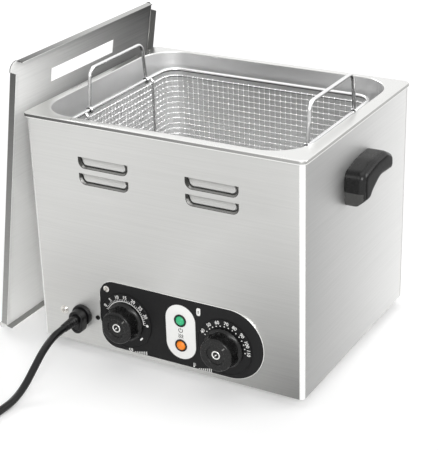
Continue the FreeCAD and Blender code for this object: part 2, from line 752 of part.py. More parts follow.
# ---------------------------------------------------------------- control panel
def stadium(body, tag, left, low, right, high, out, thick, left_round, right_round):
    """A plate on the front with one corner radius on its left side and one on its right."""
    face = new_sketch(body, tag + "Face", "XZ", out)
    rectangle(face, left, low, right, high)
    pad(body, tag + "Pad", face, thick)
    centre = (left.number + right.number) / 2
    fillet(body, tag + "Left", left_round, lambda e: along(e, 1) and middle(e).x < centre)
    fillet(body, tag + "Right", right_round, lambda e: along(e, 1) and middle(e).x > centre)


def control_panel():
    """The black plate, rounded on the left and a half circle on the right."""
    body = new_body("ControlPanel")
    half = (dim.panel_top - dim.panel_low) * 0.5
    stadium(body, "Panel", dim.panel_left, dim.panel_low, dim.panel_right, dim.panel_top,
            0, dim.panel_thick, dim.panel_corner, half - 0.02)
    holes = new_sketch(body, "PanelHoles", "XZ", dim.panel_thick)
    control_holes(holes)
    pocket(body, "PanelHolesCut", holes)
    node(body, "control_panel")
    label = new_body("LampLabel")
    stadium(label, "Label", dim.lamp_x - dim.label_w * 0.5, dim.label_low,
            dim.lamp_x + dim.label_w * 0.5, dim.label_top, dim.panel_thick,
            dim.label_thick, dim.label_w * 0.5 - 0.02, dim.label_w * 0.5 - 0.02)
    windows = new_sketch(label, "LabelHoles", "XZ", dim.panel_thick + dim.label_thick)
    for level in (dim.lamp_high, dim.lamp_low):
        circle(windows, dim.lamp_x, level, dim.lamp_hole)
    pocket(label, "LabelHolesCut", windows)
    node(label, "lamp_label")


def dial(name, x, z, label):
    """A round dial plate with a raised outer bead, around a shaft hole."""
    front = dim.panel_thick
    disc = cylinder(name + "Disc", dim.dial_round, dim.dial_thick, x, -front, z, "-Y")
    hole = cylinder(name + "Hole", dim.shaft_hole, 6, x, 1 - front, z, "-Y")
    step = cylinder(name + "Step", dim.dial_round - 1.5, 1, x,
                    -front - dim.dial_thick + 0.4, z, "-Y")
    node(cut(name, disc, [hole, step]), label)


def lamps():
    """Two pilot lamps: bezel rings, coloured domed lenses and the housings behind."""
    front = dim.panel_thick + dim.label_thick
    bezels, housings = [], []
    for tag, level, label in (("Power", dim.lamp_high, "power_lamp_lens"),
                              ("Heating", dim.lamp_low, "heating_lamp_lens")):
        rim = cylinder(tag + "Rim", dim.lamp_bezel, 1.6, dim.lamp_x, -front, level, "-Y")
        seat = cylinder(tag + "Seat", dim.lamp_lens + 0.05, 4, dim.lamp_x, 1 - front, level, "-Y")
        bezels.append(cut(tag + "Bezel", rim, [seat]))
        barrel = cylinder(tag + "Barrel", 5.4, 24 + front, dim.lamp_x, -front, level, "+Y")
        nut = cylinder(tag + "Nut", 7.5, 4, dim.lamp_x, dim.steel, level, "+Y")
        housings.append(fuse(tag + "Housing", [barrel, nut]))
        dome = doc.addObject("Part::Ellipsoid", tag + "Dome")
        bind(dome, "Radius1", 3.4)
        bind(dome, "Radius2", dim.lamp_lens)
        bind(dome, "Radius3", dim.lamp_lens)
        dome.Placement = FreeCAD.Placement(Vector(), FreeCAD.Rotation(Vector(1, 0, 0), 90))
        place(dome, dim.lamp_x, -front, level)
        rear = box(tag + "Rear", 20, 10, 20, dim.lamp_x - 10, -front, level - 10)
        node(cut(tag + "Lens", dome, [rear]), label)
    node(group("Bezels", bezels), "lamp_bezels")
    node(group("LampHousings", housings), "lamp_housings")


def front_screws():
    """Panel screws, the small dark screw beside the panel and the earth terminal."""
    screws = []
    for tag, (x, z) in zip("AB", PANEL_SCREWS):
        head = cylinder("PanelHead" + tag, 4, 1.6, x, -dim.panel_thick, z, "-Y")
        slot = box("PanelSlot" + tag, 6.4, 1, 0.9, x - 3.2, -dim.panel_thick - 1.7, z - 0.45)
        shank = cylinder("PanelShank" + tag, 2, 9, x, -dim.panel_thick, z, "+Y")
        screws.append(cut("PanelScrew" + tag, fuse("PanelBolt" + tag, [head, shank]), [slot]))
    x, z = SIDE_SCREW
    head = cylinder("SideHead", 2.9, 1.8, x, 0, z, "-Y")
    shank = cylinder("SideShank", 1.5, 7, x, 0, z, "+Y")
    screws.append(fuse("SideScrew", [head, shank]))
    node(group("FrontScrews", screws), "front_screws")
    x, z = EARTH_SCREW
    washer = cylinder("EarthWasher", 5.6, 0.8, x, 0, z, "-Y")
    head = cylinder("EarthHead", 4, 2.2, x, -0.8, z, "-Y")
    shank = cylinder("EarthShank", 2.5, 18, x, 0, z, "+Y")
    nut = cylinder("EarthNut", 4.6, 4, x, dim.steel, z, "+Y")
    node(fuse("EarthTerminal", [washer, head, shank, nut]), "earth_terminal")


# ---------------------------------------------------------------- knobs
def knob(tag, x, z, label):
    """A fluted knob with a round base and a dished front, turned as one with its shaft."""
    out, gap = dim.knob_out, dim.panel_thick + dim.dial_thick + dim.knob_gap
    body = doc.addObject("PartDesign::Body", tag + "Knob")
    place(body, x, 0, z)
    profile = new_sketch(body, tag + "Profile", "XY")
    polygon(profile, [(dim.shaft_round, -gap), (dim.knob_base, -gap),
                      (dim.knob_base, -gap - 2.6), (dim.knob_base - 2.4, -gap - 4.6),
                      (dim.knob_front + 1.6, 2.6 - out), (dim.knob_front - 0.8, -out),
                      (12, -out), (10.5, 1.6 - out), (dim.shaft_round, 1.6 - out)])
    turned = body.newObject("PartDesign::Revolution", tag + "Turned")
    turned.Profile = profile
    turned.ReferenceAxis = (profile, ["V_Axis"])
    turned.Angle = 360
    body.Tip = turned
    doc.recompute()
    flute = new_sketch(body, tag + "Flute", "XZ", out)
    circle(flute, dim.knob_base + 4.5, 0, 8.2)
    first = pocket(body, tag + "FluteCut", flute, out - gap - 5)
    around = body.newObject("PartDesign::PolarPattern", tag + "Flutes")
    around.Originals = [first]
    around.Axis = (flute, ["N_Axis"])
    around.Angle = 360
    around.Occurrences = 6
    body.Tip = around
    doc.recompute()
    node(body, label + "_knob")
    face = 1.6 - out
    ring_outer = cylinder(tag + "CapDisc", dim.cap_round, 0.8, x, face, z, "-Y")
    ring_inner = cylinder(tag + "CapHole", 3.2, 0.5, x, face - 0.4, z, "-Y")
    node(cut(tag + "Cap", ring_outer, [ring_inner]), label + "_knob_cap")
    rear = dim.steel + 16
    node(cylinder(tag + "Shaft", dim.shaft_round, rear - face, x, rear, z, "-Y"),
         label + "_shaft")


# ---------------------------------------------------------------- side handles
def side_handle(name, label, wall, outward):
    """A moulded hood for the fingers: a long front cheek, an arched grip, a short rear cheek."""
    body = new_body(name)
    front, back, low, top = dim.handle_front, dim.handle_back, dim.handle_low, dim.handle_top
    reach, skin = dim.handle_reach, dim.handle_wall
    side = new_sketch(body, name + "Side", "YZ", wall)
    corners = ((front, low + 19, 9), (front + 3, low, 6.5), (front + 14, low, 3.5),
               (front + 26, low + 13, 16), (front + 47, low + 24, 24), (back, low + 21, 3),
               (back, top - 10, 8), (back - 19, top, 16), (front + 36, top - 0.5, 50),
               (front, top - 7, 11))
    polygon(side, [(y, z) for y, z, radius in corners])
    pad(body, name + "Pad", side, reach, reverse=outward < 0)

    def crosses(y, z):
        return lambda e: along(e, 0) and abs(middle(e).y - y.number) < 0.5 \
            and abs(middle(e).z - z.number) < 0.5
    for number, (y, z, radius) in enumerate(corners):
        fillet(body, "%sRound%d" % (name, number), radius, crosses(y, z))
    outer = (wall + reach * outward).number
    fillet(body, name + "Edge", dim.handle_edge, lambda e: flat_at(e, 0, outer))
    hollow = new_sketch(body, name + "Fingers", "XY", low - 1)
    inner, far = wall - outward * 1.0, wall + (reach - skin) * outward
    left, right = (inner, far) if outward > 0 else (far, inner)
    rectangle(hollow, left, front + 11, right, back - 9)
    pocket(body, name + "FingersCut", hollow, top - 7.5 - low + 1, reverse=True)
    slope = new_sketch(body, name + "Slope", "XZ", -(front - 1))
    polygon(slope, [(wall + outward * 12, low - 1), (wall + (reach + 1) * outward, low - 1),
                    (wall + (reach + 1) * outward, low + 12)])
    pocket(body, name + "SlopeCut", slope, 20)
    bores = new_sketch(body, name + "Bores", "YZ", wall)
    for y, z in HANDLE_SCREWS:
        circle(bores, y, z, dim.grip_hole)
    pocket(body, name + "BoresCut", bores, 14, reverse=outward > 0)
    node(body, label)


def handle_screws():
    """Two screws from inside the casing into the cheeks of each handle."""
    screws = []
    for tag, wall, way, back in (("R", dim.case_w, "+X", "-X"), ("L", Size.of(0), "-X", "+X")):
        outward = 1 if way == "+X" else -1
        for number, (y, z) in enumerate(HANDLE_SCREWS):
            inside = wall - dim.steel * outward
            shank = cylinder("Grip%s%d" % (tag, number), 2.35, 13, inside, y, z, way)
            head = cylinder("GripHead%s%d" % (tag, number), 4, 2.2, inside, y, z, back)
            screws.append(fuse("GripScrew%s%d" % (tag, number), [shank, head]))
    node(group("HandleScrews", screws), "handle_screws")


# ---------------------------------------------------------------- basket
def mesh_panel(name, label, plane, level, sides, across, rows, border=0, corner=None):
    """A flat panel of mesh: a plate with a grid of openings between its bars. Its sides are
    left, low, right, high on the plane."""
    left, low, right, high = sides
    bar = dim.mesh_bar
    body = new_body(name)
    face = new_sketch(body, name + "Face", plane, level)
    rectangle(face, left, low, right, high)
    pad(body, name + "Pad", face, dim.mesh_thick)
    if corner:
        fillet(body, name + "Corners", corner, lambda e: along(e, 2))
    pitch = (right - left - 2 * border - bar) * (1.0 / across)
    rise = (high - low - 2 * border - bar) * (1.0 / rows)
    openings = new_sketch(body, name + "Openings", plane, level)
    start = left + border + bar
    for row in range(rows):
        bottom = low + border + bar + rise * row
        rectangle(openings, start, bottom, start + pitch - bar, bottom + rise - bar)
    column = pocket(body, name + "OpeningsCut", openings, reverse=True)
    repeat(body, name + "Columns", column, openings, pitch * (across - 1), across)
    node(body, label)


def basket():
    """Rings and ribs of wire that carry flat mesh walls, and rounded mesh corners."""
    left, right = dim.basket_left, dim.basket_right
    front, back = dim.basket_front, dim.basket_back
    top, low, bend = dim.basket_rim, dim.basket_low, dim.basket_corner.number
    frame = dim.frame_wire
    node(ring("BasketRim", left, front, right, back, top, dim.rim_wire, bend),
         "basket_rim_wire")
    node(ring("BasketBand", left, front, right, back, top - 8.6, frame, bend),
         "basket_band_wire")
    node(ring("BasketFoot", left, front, right, back, low, frame, bend),
         "basket_bottom_wire")
    mesh, gap = dim.mesh_thick, dim.mesh_gap
    rib = frame * 0.8
    wall = frame + gap
    inset = wall + mesh + gap + rib
    high, deep = top - 6.6, low + 2.2
    tall = high - deep
    under = low + 0.4
    ribs = []
    for y in (dim.rib_front, dim.rib_back):
        floor = under + mesh + gap + rib
        half = [(left + dim.rim_wire, y, top - 0.5), (left + inset, y, top - 4),
                (left + inset, y, floor)]
        mirrored = [(left + right - x, y, z) for x, y, z in reversed(half)]
        ribs.append(tube("Rib%d" % y.number, half + mirrored, rib, bend=4))
    node(group("BasketRibs", ribs), "basket_ribs")
    across = (left + bend, deep, right - bend, high)
    along_side = (front + bend, deep, back - bend, high)
    mesh_panel("MeshFront", "basket_mesh_front", "XZ", -(front + wall + mesh), across, 12, 6)
    mesh_panel("MeshBack", "basket_mesh_back", "XZ", wall - back, across, 12, 6)
    mesh_panel("MeshLeft", "basket_mesh_left", "YZ", left + wall, along_side, 10, 6)
    mesh_panel("MeshRight", "basket_mesh_right", "YZ", right - wall - mesh, along_side, 10, 6)
    corners = []
    for number, (x, y) in enumerate(((right - bend, back - bend), (left + bend, back - bend),
                                     (left + bend, front + bend), (right - bend, front + bend))):
        outer = cylinder("CornerOut%d" % number, bend - wall, tall, x, y, deep, angle=90)
        inner = cylinder("CornerIn%d" % number, bend - wall - mesh, tall, x, y, deep, angle=90)
        for piece in (outer, inner):
            turn(piece, Vector(0, 0, 1), 90 * number)
            place(piece, x, y, deep)
        corners.append(cut("Corner%d" % number, outer, [inner]))
    node(group("MeshCorners", corners), "basket_mesh_corners")
    edge = wall + gap * 0.5
    floor_sides = (left + edge, front + edge, right - edge, back - edge)
    mesh_panel("MeshFloor", "basket_mesh_floor", "XY", under, floor_sides, 12, 10,
               border=dim.mesh_border, corner=dim.basket_corner - edge)


def bail(name, label, x):
    """A wire bail whose two feet are eyes around the basket's rim wire."""
    mid, foot, top = dim.bail_mid, dim.bail_foot, dim.bail_top
    level = dim.basket_rim
    wire = tube(name + "Wire", [(x, mid - foot, level + 3.4), (x, mid - top, level + dim.bail_tall),
                                (x, mid + top, level + dim.bail_tall),
                                (x, mid + foot, level + 3.4)],
                dim.bail_wire, bend=dim.bail_bend.number)
    pieces, bores = [wire], []
    for tag, y in (("Near", mid - foot), ("Far", mid + foot)):
        start = y - dim.eye_long * 0.5
        pieces.append(cylinder(name + "Eye" + tag, dim.eye_round, dim.eye_long,
                               x, start, level, "+Y"))
        bores.append(cylinder(name + "Bore" + tag, dim.rim_wire + dim.eye_play,
                              dim.eye_long + 4, x, start - 2, level, "+Y"))
    node(cut(name, fuse(name + "Solid", pieces), bores), label)


# ---------------------------------------------------------------- lid
def lid():
    """A pressed cover with four skirts, open at its rounded corners, and a hand slot.
    Its own frame lies in the plate: x along the depth, y up the plate, z to the boiler."""
    body = doc.addObject("PartDesign::Body", "Lid")
    lean = math.radians(dim.lid_lean.number)
    up = Vector(math.sin(lean), 0, math.cos(lean))
    inward = Vector(math.cos(lean), 0, -math.sin(lean))
    rotation = FreeCAD.Rotation(Vector(0, 1, 0), up, inward, "ZXY")
    body.Placement = FreeCAD.Placement(Vector(), rotation)
    drop = math.sin(lean)
    floor = dim.lid_skirt * drop - dim.foot_h
    place(body, -dim.lid_foot, -dim.lid_front, floor)
    wide, tall, steel = dim.lid_w, dim.lid_tall, dim.lid_steel
    plate = new_sketch(body, "LidPlate", "XY")
    rectangle(plate, 0, 0, wide, tall)
    pad(body, "LidPlatePad", plate, steel)
    fillet(body, "LidCorners", dim.lid_corner, lambda e: along(e, 2))
    skirts = new_sketch(body, "LidSkirts", "XY")
    notch = dim.lid_corner + 2
    for left, low, right, high in ((notch, 0, wide - notch, steel),
                                   (notch, tall - steel, wide - notch, tall),
                                   (0, notch, steel, tall - notch),
                                   (wide - steel, notch, wide, tall - notch)):
        rectangle(skirts, left, low, right, high)
    pad(body, "LidSkirtsPad", skirts, dim.lid_skirt)
    slot = new_sketch(body, "LidSlot", "XY", steel)
    rectangle(slot, dim.slot_x - dim.slot_w * 0.5, dim.slot_mid - dim.slot_tall * 0.5,
              dim.slot_x + dim.slot_w * 0.5, dim.slot_mid + dim.slot_tall * 0.5)
    pocket(body, "LidSlotCut", slot)
    node(body, "lid")


# ---------------------------------------------------------------- cord
CORD_ROUTE = ((61.0, -41.0, 40.0), (61.0, -62.0, 39.2), (61.0, -83.0, 31.5),
              (60.7, -102.0, 18.0), (60.0, -121.0, 3.5), (58.8, -141.0, -5.0),
              (57.0, -161.0, -6.6), (55.3, -179.0, -6.6), (53.9, -196.0, -6.5))
TAIL_ROUTE = ((-67.0, -198.0, 2.3), (-67.6, -182.0, 1.4), (-68.5, -166.0, 0.3))
PLUG = (-68.5, -166.0, 0.3)


def gland():
    """Cable gland through the front wall, its cord clamp in front and its locknut inside."""
    x, z = dim.gland_x, dim.gland_z
    flange = cylinder("GlandFlange", dim.gland_round, 5, x, 0, z, "-Y")
    thread = cylinder("GlandThread", 10, 14, x, 0, z, "+Y")
    node(fuse("GlandBody", [flange, thread]), "cable_gland")
    hub = cylinder("ClampHub", dim.clamp_round, dim.clamp_out - 5, x, -5, z, "-Y")
    web = box("ClampWeb", 17, dim.clamp_out - 7, dim.clamp_drop, x - 8.5,
              -dim.clamp_out + 1, z - dim.clamp_drop)
    lobe = cylinder("ClampLobe", 8.5, dim.clamp_out - 7, x, -6, z - dim.clamp_drop, "-Y")
    node(fuse("Clamp", [hub, web, lobe]), "cord_clamp")
    locknut = cylinder("GlandLocknut", 14, 5, x, dim.steel, z, "+Y")
    bore = cylinder("GlandLocknutBore", 10, 8, x, 0, z, "+Y")
    node(cut("Locknut", locknut, [bore]), "gland_locknut")


def cord():
    """Strain relief, the free lead, the coil of its spare length, and the plug."""
    x, z, wire = dim.gland_x, dim.gland_z, dim.cord_wire
    node(cone("Relief", 6.4, 5.1, dim.relief_out - dim.clamp_out, x, -dim.clamp_out, z, "-Y"),
         "cord_strain_relief")
    for name, label, route in (("Lead", "power_cord", CORD_ROUTE),
                               ("Tail", "power_cord_tail", TAIL_ROUTE)):
        path = rounded_wire([case_point(*p) for p in route], quiet=False)
        print(label, "length", round(path.Length, 1))
        node(feature_of(name, tube_shape(path, wire.number)), label)
    outer = cylinder("CoilOut", dim.coil_mid + dim.coil_half, dim.coil_tall,
                     dim.coil_x, dim.coil_y, -dim.foot_h)
    inner = cylinder("CoilIn", dim.coil_mid - dim.coil_half, dim.coil_tall,
                     dim.coil_x, dim.coil_y, -dim.foot_h)
    node(cut("Coil", outer, [inner]), "power_cord_coil")
    px, py, pz = PLUG
    neck = cone("PlugNeck", 5.6, 8.5, 16, px, py, pz, "+Y")
    block = box("PlugBlock", 27, 32, 23, px - 13.5, py + 15, pz - 11.5)
    grip = soften("PlugGrip", block, 5.0, lambda e: along(e, 1))
    node(fuse("Plug", [neck, grip]), "plug_body")
    face = py + 47
    blades = [box("PlugBlade%d" % side, 1.6, 17, 6.4, px + 6.4 * side - 0.8, face, pz - 6.4)
              for side in (-1, 1)]
    earth = cylinder("PlugEarth", 2.4, 20, px, face, pz + 5.6, "+Y")
    node(group("PlugPins", blades + [earth]), "plug_pins")


# ---------------------------------------------------------------- the whole boiler
casing_wrap()
base_plate()
back_panel()
back_screws()
feet()
tank()
tank_clips()
heating_element()
tank_glands()
element_guard()
thermostat_parts()
timer_body()
small_electrics()
control_panel()
dial("TimerDial", dim.timer_x, dim.timer_z, "timer_dial")
dial("ThermostatDial", dim.thermo_x, dim.thermo_z, "thermostat_dial")
lamps()
front_screws()
knob("Timer", dim.timer_x, dim.timer_z, "timer")
knob("Thermostat", dim.thermo_x, dim.thermo_z, "thermostat")
side_handle("RightHandle", "right_handle", dim.case_w, 1)
side_handle("LeftHandle", "left_handle", Size.of(0), -1)
handle_screws()
basket()
bail("LeftBail", "basket_bail_left", dim.basket_left)
bail("RightBail", "basket_bail_right", dim.basket_right)
lid()
gland()
cord()
doc.recompute()

failed = [thing.Name for thing in doc.Objects
          if "Invalid" in thing.State or "Error" in thing.State]
failed += [thing.Label for thing in NODES
           if thing.Shape.isNull() or not thing.Shape.isValid() or not thing.Shape.Solids]
if failed:
    raise RuntimeError("failed objects: " + ", ".join(failed))

os.makedirs("parts", exist_ok=True)
for thing in NODES:
    thing.Shape.exportStep(os.path.join("parts", thing.Label + ".step"))
print(len(NODES), "nodes written")
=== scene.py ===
# %% [markdown]
# # A commercial egg boiler
#
# An open stainless tank in a sheet-steel casing, with a wire basket inside, a lid that leans
# on its left, and a panel with a timer and a thermostat low on the front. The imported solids
# come first: they say where every piece is and what moves. Each cell then gives one piece its
# real surface, or one finish its real look.

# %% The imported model
import math
import bmesh
import bpy
import numpy as np
from mathutils import Matrix, Vector


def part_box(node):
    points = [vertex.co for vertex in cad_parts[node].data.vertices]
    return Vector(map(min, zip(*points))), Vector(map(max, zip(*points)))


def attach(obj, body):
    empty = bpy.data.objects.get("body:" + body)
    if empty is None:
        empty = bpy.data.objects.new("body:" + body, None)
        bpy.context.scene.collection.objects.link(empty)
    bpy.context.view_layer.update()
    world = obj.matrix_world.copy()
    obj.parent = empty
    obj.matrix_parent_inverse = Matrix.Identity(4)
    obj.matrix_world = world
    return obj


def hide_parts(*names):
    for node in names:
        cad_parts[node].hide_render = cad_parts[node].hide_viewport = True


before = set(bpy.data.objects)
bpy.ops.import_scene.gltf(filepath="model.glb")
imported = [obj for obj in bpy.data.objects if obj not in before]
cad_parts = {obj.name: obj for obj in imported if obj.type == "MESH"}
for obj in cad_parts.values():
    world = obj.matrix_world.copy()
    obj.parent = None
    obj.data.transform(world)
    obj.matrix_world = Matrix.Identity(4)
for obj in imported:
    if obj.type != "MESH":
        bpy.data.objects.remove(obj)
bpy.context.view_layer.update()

# %% [markdown]
# ## Millimetres from the casing's corner
#
# A sheet-metal drawing is dimensioned from one corner of the casing: its lower front left,
# which is also the lowest corner of the casing solid's box.

# %% From casing millimetres to the shared frame
CASE_W, CASE_D, CASE_H = 360.0, 290.0, 290.6
FLOOR = -11.4
CORNER = np.array(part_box("casing_wrap")[0])


def metres(points):
    """Each casing millimetre divided by a thousand, counted on from the casing's corner."""
    return CORNER + np.asarray(points, float) / 1000


def unit(vectors):
    """Each vector divided by its own length."""
    return vectors / np.linalg.norm(vectors, axis=-1, keepdims=True)


print("casing corner in mm", np.round(CORNER * 1000, 2))

# %% [markdown]
# ## The camera
#
# A long lens from the right, looking down a quarter of a right angle. The three angles turn
# Blender's camera, which looks along its own -Z with +Y up.

# %% Camera
CAMERA_AT = (0.752964, -1.281336, 0.803574)
AZIMUTH, ELEVATION, ROLL = (math.radians(angle) for angle in (29.8218, 24.2545, -1.6174))
LENS_MM, SENSOR_MM = 104.68, 36
SEES_FAR = 60


def camera_axes(azimuth, elevation, roll):
    """Back points from the object to the camera, right is level, and roll mixes right and up."""
    back = np.array((math.sin(azimuth) * math.cos(elevation),
                     -math.cos(azimuth) * math.cos(elevation), math.sin(elevation)))
    right = unit(np.cross(-back, (0, 0, 1)))
    up = np.cross(right, -back)
    return (math.cos(roll) * right + math.sin(roll) * up,
            math.cos(roll) * up - math.sin(roll) * right, back)


def new_object(name, data):
    """An object in the scene for a mesh, a curve, a lamp or a camera."""
    made = bpy.data.objects.new(name, data)
    bpy.context.scene.collection.objects.link(made)
    return made


lens = bpy.data.cameras.new("camera")
lens.lens, lens.sensor_width, lens.clip_end = LENS_MM, SENSOR_MM, SEES_FAR
camera = new_object("camera", lens)
axes = Matrix(np.array(camera_axes(AZIMUTH, ELEVATION, ROLL)).T.tolist())
camera.matrix_world = Matrix.Translation(CAMERA_AT) @ axes.to_4x4()
bpy.context.scene.camera = camera
print("camera", [round(c, 3) for c in CAMERA_AT])

# %% [markdown]
# ## Colours and nodes
#
# A colour picked from a swatch is sRGB, and a shader wants linear light. One function turns
# the one into the other, and one small function adds a node with its settings and links.

# %% Colour and node helpers
KNEE, SLOPE, TOE, GAMMA = 0.04045, 12.92, 0.055, 2.4


def linear(swatch):
    """sRGB hex to linear: c/12.92 up to 0.04045, above it ((c + 0.055)/1.055) to the 2.4."""
    parts = np.array([int(swatch[i:i + 2], 16) for i in (1, 3, 5)]) / 255
    light = np.where(parts <= KNEE, parts / SLOPE, ((parts + TOE) / (1 + TOE)) ** GAMMA)
    return (*light.tolist(), 1.0)


def add(tree, kind, inputs=(), **settings):
    """One node: settings are its properties, inputs are values, or sockets to link from."""
    made = tree.nodes.new(kind)
    for name, value in settings.items():
        setattr(made, name, value)
    for name, value in dict(inputs).items():
        if isinstance(value, bpy.types.NodeSocket):
            tree.links.new(value, made.inputs[name])
        else:
            made.inputs[name].default_value = value
    return made


print("mid grey", [round(c, 3) for c in linear("#808080")])

# %% [markdown]
# ## Patterns and tones
#
# A pattern is noise read in Object coordinates, at a scale worked out from a real size. A tone
# is painted shade: a slow darkening that stands in for the darker things that polished steel
# would mirror in that place, or for the shade under a bar, which a white studio does not give.
# A tone multiplies the colour by 1 or less, and says where in casing millimetres.

# %% Patterns
BRUSH_WIDE_MM, BRUSH_LONG = 1.6, 70
BLOTCH_MM, SPECKLE_MM, GRIT_MM = 45, 2.5, 0.8


def grain(tree, size_mm, detail=2.0, stretch=(1, 1, 1)):
    """Noise on Object coordinates. One blotch is size_mm, times stretch, along each axis."""
    where = add(tree, "ShaderNodeTexCoord")
    scale = [1000 / (size_mm * s) for s in stretch]
    spread = add(tree, "ShaderNodeMapping", {"Vector": where.outputs["Object"], "Scale": scale})
    return add(tree, "ShaderNodeTexNoise", {"Vector": spread.outputs["Vector"], "Scale": 1.0,
                                            "Detail": detail, "Roughness": 0.55}).outputs["Fac"]


def brushing(tree):
    """Streaks BRUSH_WIDE_MM tall, and BRUSH_LONG times as long both ways on the level. A real
    scratch is 0.1 mm wide, too fine to show, so it is drawn 1.6 mm wide."""
    return grain(tree, BRUSH_WIDE_MM, stretch=(BRUSH_LONG, BRUSH_LONG, 1))


def blotches(tree):
    """The slow unevenness of drawn or polished metal, with a third octave of detail."""
    return grain(tree, BLOTCH_MM, 3.0)


def speckle(tree):
    """Fine moulding texture, with two octaves of detail."""
    return grain(tree, SPECKLE_MM)


def fine_grit(tree):
    """Moulded or blasted grit, drawn 0.8 mm across where the real one is 0.1 mm."""
    return grain(tree, GRIT_MM)


print("streaks in mm", BRUSH_WIDE_MM, "x", BRUSH_WIDE_MM * BRUSH_LONG)

# %% Tones
UNDERSIDE = -0.5


def greyer_near(place, reach, least):
    """Painted shade: a tone of 1 that falls to least at a place. 1 less the distance from it,
    measured in its reach along each axis, is what takes the tone down."""
    def tone(tree):
        where = add(tree, "ShaderNodeTexCoord")
        scale = 1000 / np.array(reach, float)
        local = add(tree, "ShaderNodeMapping", {"Vector": where.outputs["Object"],
                                                "Location": -metres(place) * scale,
                                                "Scale": scale})
        ball = add(tree, "ShaderNodeTexGradient", {"Vector": local.outputs["Vector"]},
                   gradient_type="SPHERICAL")
        return add(tree, "ShaderNodeMapRange", {"Value": ball.outputs["Fac"], "To Min": 1.0,
                                                "To Max": least}).outputs["Result"]
    return tone


def duller_below(least, bright_from):
    """Painted shade on undersides: a tone that climbs with the normal's Z from least, where it is
    under UNDERSIDE, to 1, where it is over bright_from."""
    def tone(tree):
        where = add(tree, "ShaderNodeTexCoord")
        split = add(tree, "ShaderNodeSeparateXYZ", {"Vector": where.outputs["Normal"]})
        return add(tree, "ShaderNodeMapRange", {"Value": split.outputs["Z"],
                                                "From Min": UNDERSIDE, "From Max": bright_from,
                                                "To Min": least,
                                                "To Max": 1.0}).outputs["Result"]
    return tone


print("a face looking down past", UNDERSIDE, "is an underside")

# %% [markdown]
# ## From a pattern to a finish
#
# Every finish here is one Principled shader. A pattern blends two close colours and moves the
# roughness with them, so that a duller streak is also a darker one, as it is on real sheet.
# What is equal all over, such as Metallic, is set on the shader itself.

# %% One finish
FINISHES = {}
SWATCH_SOCKETS = (6, 7)
PATTERN_LOW, PATTERN_HIGH = 0.3, 0.7


def finish(name, swatches, mixer, rough, height=None, height_mm=0.02, tones=(), **shader):
    """mixer(tree) blends two swatches and spans the roughness pair, height(tree) is relief of
    height_mm, each tone(tree) multiplies the colour, and shader holds values for its sockets."""
    made = bpy.data.materials.new(name)
    made.use_nodes = True
    tree = made.node_tree
    surface = tree.nodes["Principled BSDF"]
    for socket, value in shader.items():
        surface.inputs[socket.replace("_", " ")].default_value = value
    factor = mixer(tree)
    blend = add(tree, "ShaderNodeMix", {"Factor": factor}, data_type="RGBA")
    for socket, swatch in zip(SWATCH_SOCKETS, swatches):
        blend.inputs[socket].default_value = linear(swatch)
    colour = blend.outputs["Result"]
    for tone in tones:
        toned = add(tree, "ShaderNodeVectorMath", {0: colour, 1: tone(tree)},
                    operation="MULTIPLY")
        colour = toned.outputs["Vector"]
    tree.links.new(colour, surface.inputs["Base Color"])
    spanned = add(tree, "ShaderNodeMapRange", {"Value": factor, "From Min": PATTERN_LOW,
                                               "From Max": PATTERN_HIGH, "To Min": rough[0],
                                               "To Max": rough[1]})
    tree.links.new(spanned.outputs["Result"], surface.inputs["Roughness"])
    if height:
        bump = add(tree, "ShaderNodeBump", {"Height": height(tree), "Strength": 1.0,
                                            "Distance": height_mm / 1000})
        tree.links.new(bump.outputs["Normal"], surface.inputs["Normal"])
    FINISHES[name] = made


print("the two swatches go into inputs", SWATCH_SOCKETS, "of the Mix node")

# %% [markdown]
# ## Sheet steel
#
# Stainless sheet is brushed along its length, so its scratches are long and level: noise
# stretched along both level axes reads as brushing on the front and on the sides. Metals keep
# Blender's default IOR, because a metal's reflection is set by its base colour.

# %% Sheet finishes
# Cold-rolled sheet, brushed: level streaks and a wide soft highlight.
finish("brushed_stainless_sheet", ("#D2D2D0", "#C9C9C7"), brushing, (0.34, 0.42),
       brushing, 0.005, Metallic=1.0)
# The front, brushed more coarsely: flat and even, with painted shade towards its right foot.
finish("brushed_stainless_casing", ("#D8D8D6", "#D0D0CE"), brushing, (0.46, 0.54),
       brushing, 0.005, (greyer_near((360, 0, 0), (190, 170, 220), 0.35),
                         greyer_near((310, 0, 230), (220, 170, 150), 0.86)), Metallic=1.0)
# The sides, painted lighter than the front: bright at the rear, with painted shade to the fold.
finish("brushed_side_painted_light", ("#FAFAF9", "#F2F2F1"), brushing, (0.46, 0.54),
       brushing, 0.005, (greyer_near((360, 0, 150), (500, 430, 2000), 0.42),), Metallic=1.0)
# A painted highlight on the front folds: a thin white line down the corner.
finish("fold_painted_highlight", ("#FFFFFF", "#FBFBFB"), brushing, (0.26, 0.34), Metallic=1.0)
# The lid's skirts, painted darker, with painted shade at the top, paler towards the floor.
finish("brushed_stainless_skirt", ("#C2C2C0", "#B8B8B6"), brushing, (0.34, 0.42),
       brushing, 0.005, (greyer_near((-12, -7, 360), (900, 170, 560), 0.2),), Metallic=1.0)
# The lid's inside: matt and painted paler than its outside, with painted shade that darkens it
# towards its upper rear corner.
finish("satin_stainless_inside", ("#FFFFFE", "#F8F8F7"), brushing, (0.85, 0.95),
       brushing, 0.004, (greyer_near((-10, 300, 370), (400, 340, 350), 0.05),), Metallic=1.0)
# The louvres' slopes, as painted shade: a darker grey with a harder glint.
finish("louvre_slope_painted_shade", ("#A0A09E", "#868684"), fine_grit, (0.25, 0.4), Metallic=1.0)
# Painted shade on the louvres' creases, cut edges and upper left ends: thin dark lines.
finish("louvre_edge_painted_shade", ("#4A4A48", "#333332"), fine_grit, (0.45, 0.6), Metallic=1.0)
